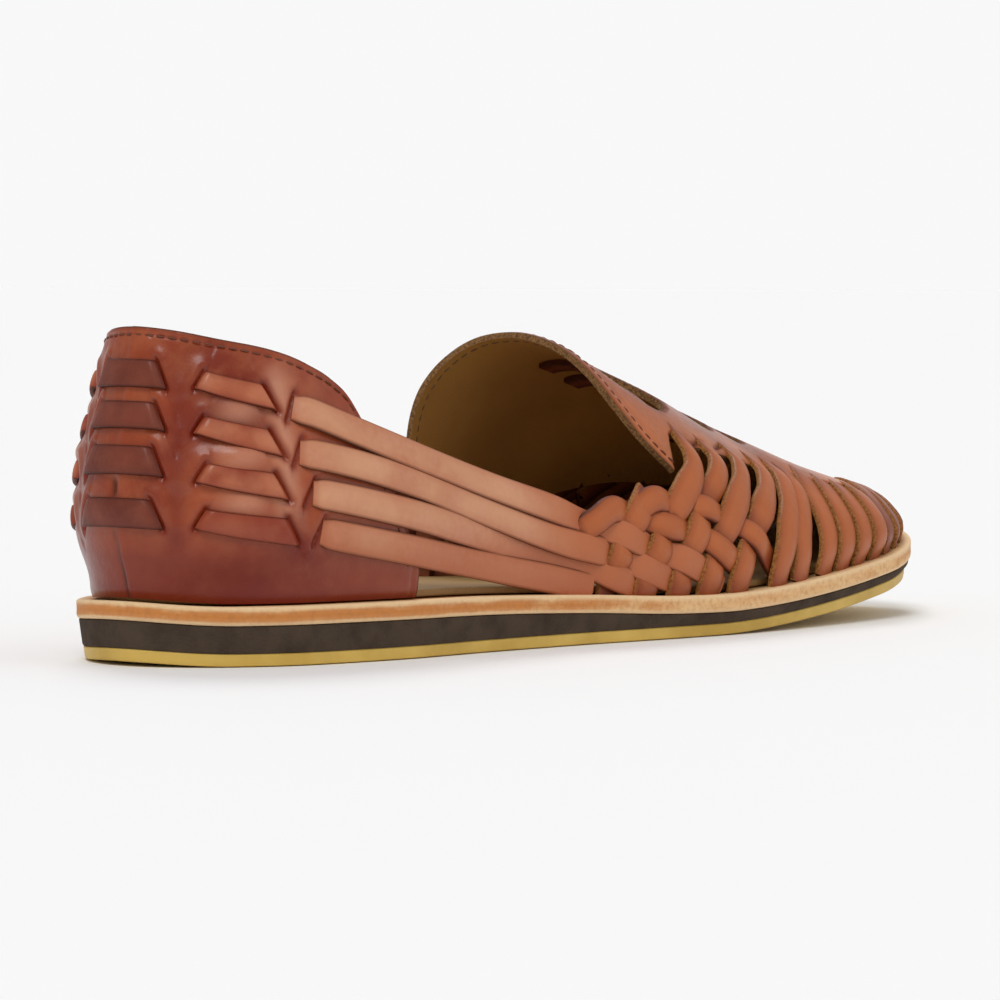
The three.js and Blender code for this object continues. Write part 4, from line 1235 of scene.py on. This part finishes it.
ribbons("toe_strips", toe_parts, warm_leather)

# %% [markdown]
# ## Stitches
# A row of stitches is many small grains of thread lying in a groove. Each is a short rounded
# bar laid along the edge it holds; all of one row are joined in one mesh.

# %% Stitch rows
STITCH, STITCH_GAP, THREAD, SIDES = 2.1, 0.75, 0.24, 6
grain_shape = table(
    "share size raised",
    (0.0, 0.35, -0.5), (0.12, 0.85, -0.1), (0.5, 1.0, 0.25), (0.88, 0.85, -0.1), (1.0, 0.35, -0.5),
)


def stitches(name, path, face, material):
    """Bars along a path of points, standing on its face direction."""
    steps = np.linalg.norm(np.diff(path, axis=0), axis=1)
    distance = np.concatenate([[0], np.cumsum(steps)])

    def at(values, s):
        return np.stack([np.interp(s, distance, values[:, k]) for k in range(3)], -1)

    angle = np.linspace(0, 2 * math.pi, SIDES, endpoint=False)[:, None]
    points, faces = [], []
    for s in np.arange(STITCH_GAP, distance[-1] - STITCH, STITCH + STITCH_GAP):
        up = at(face, s + STITCH / 2)
        up /= np.linalg.norm(up)
        direction = at(path, s + STITCH) - at(path, s)
        direction /= np.linalg.norm(direction)
        across = np.cross(direction, up)
        base = len(points) * SIDES
        for share, size, raised in zip(*grain_shape.values()):
            centre = at(path, s + STITCH * share) + up * raised * THREAD
            points.append(centre + THREAD * size * (np.cos(angle) * across + np.sin(angle) * up))
        end = len(points) * SIDES
        for low in range(base, end - SIDES, SIDES):
            for i in range(SIDES):
                j = (i + 1) % SIDES
                faces.append([low + i, low + j, low + SIDES + j, low + SIDES + i])
        faces.append(list(range(base + SIDES - 1, base - 1, -1)))
        faces.append(list(range(end - SIDES, end)))
    piece(name, np.concatenate(points), faces, [material])


COLLAR_ENDS, COLLAR_INSET, THROAT_INSET = QUARTER_FRONT * 0.985, 1.9, 2.4
collar_turns = np.linspace(-COLLAR_ENDS, COLLAR_ENDS, 260)
collar_rise = rise_at(collar_turns, curve(collar, "up", station(collar_turns)) - COLLAR_INSET)
past_corner = unit((np.abs(collar_turns) - 46) / 4)
inset_turns = collar_turns - np.sign(collar_turns) * 1.2 * past_corner
collar_row = (inset_turns, collar_rise)
stitches("collar_stitches", lifted(*collar_row, 0 * collar_rise), normal(*collar_row), brown_thread)

throat_rise = np.concatenate([np.linspace(0.38, 1, 90), np.linspace(1, 0.27, 90)[1:]])
throat_side = np.concatenate([np.full(90, -1.0), np.full(89, 1.0)])
throat_x = np.where(
    throat_side < 0, curve(throat, "outer", throat_rise, "rise"),
    curve(throat, "inner", throat_rise, "rise"),
) + THROAT_INSET
throat_row = (throat_side * turn_at(throat_x), throat_rise)
facing = normal(*throat_row)
stitches("throat_stitches", lifted(*throat_row, np.full(179, -0.02)), facing, brown_thread)
stitches("throat_lining_stitches", lifted(*throat_row, np.full(179, -WALL)), -facing, tan_thread)

# %% [markdown]
# ## Floor
# A plain pale sheet under the shoe, large enough for every view.

# %% Studio floor
def paper():
    return {"Base Color": rgb(250, 250, 250), "Roughness": 0.9, "Specular IOR Level": 0.1}


FLOOR_REACH = 12.0
floor_mesh = bpy.data.meshes.new("studio_floor")
corners = [(x * FLOOR_REACH, y * FLOOR_REACH, 0) for x, y in ((-1, -1), (1, -1), (1, 1), (-1, 1))]
floor_mesh.from_pydata(corners, [], [(0, 1, 2, 3)])
floor_mesh.materials.append(finish("floor_paper", paper))
floor = bpy.data.objects.new("studio_floor", floor_mesh)
scene.collection.objects.link(floor)
floor.location.z = -0.0002
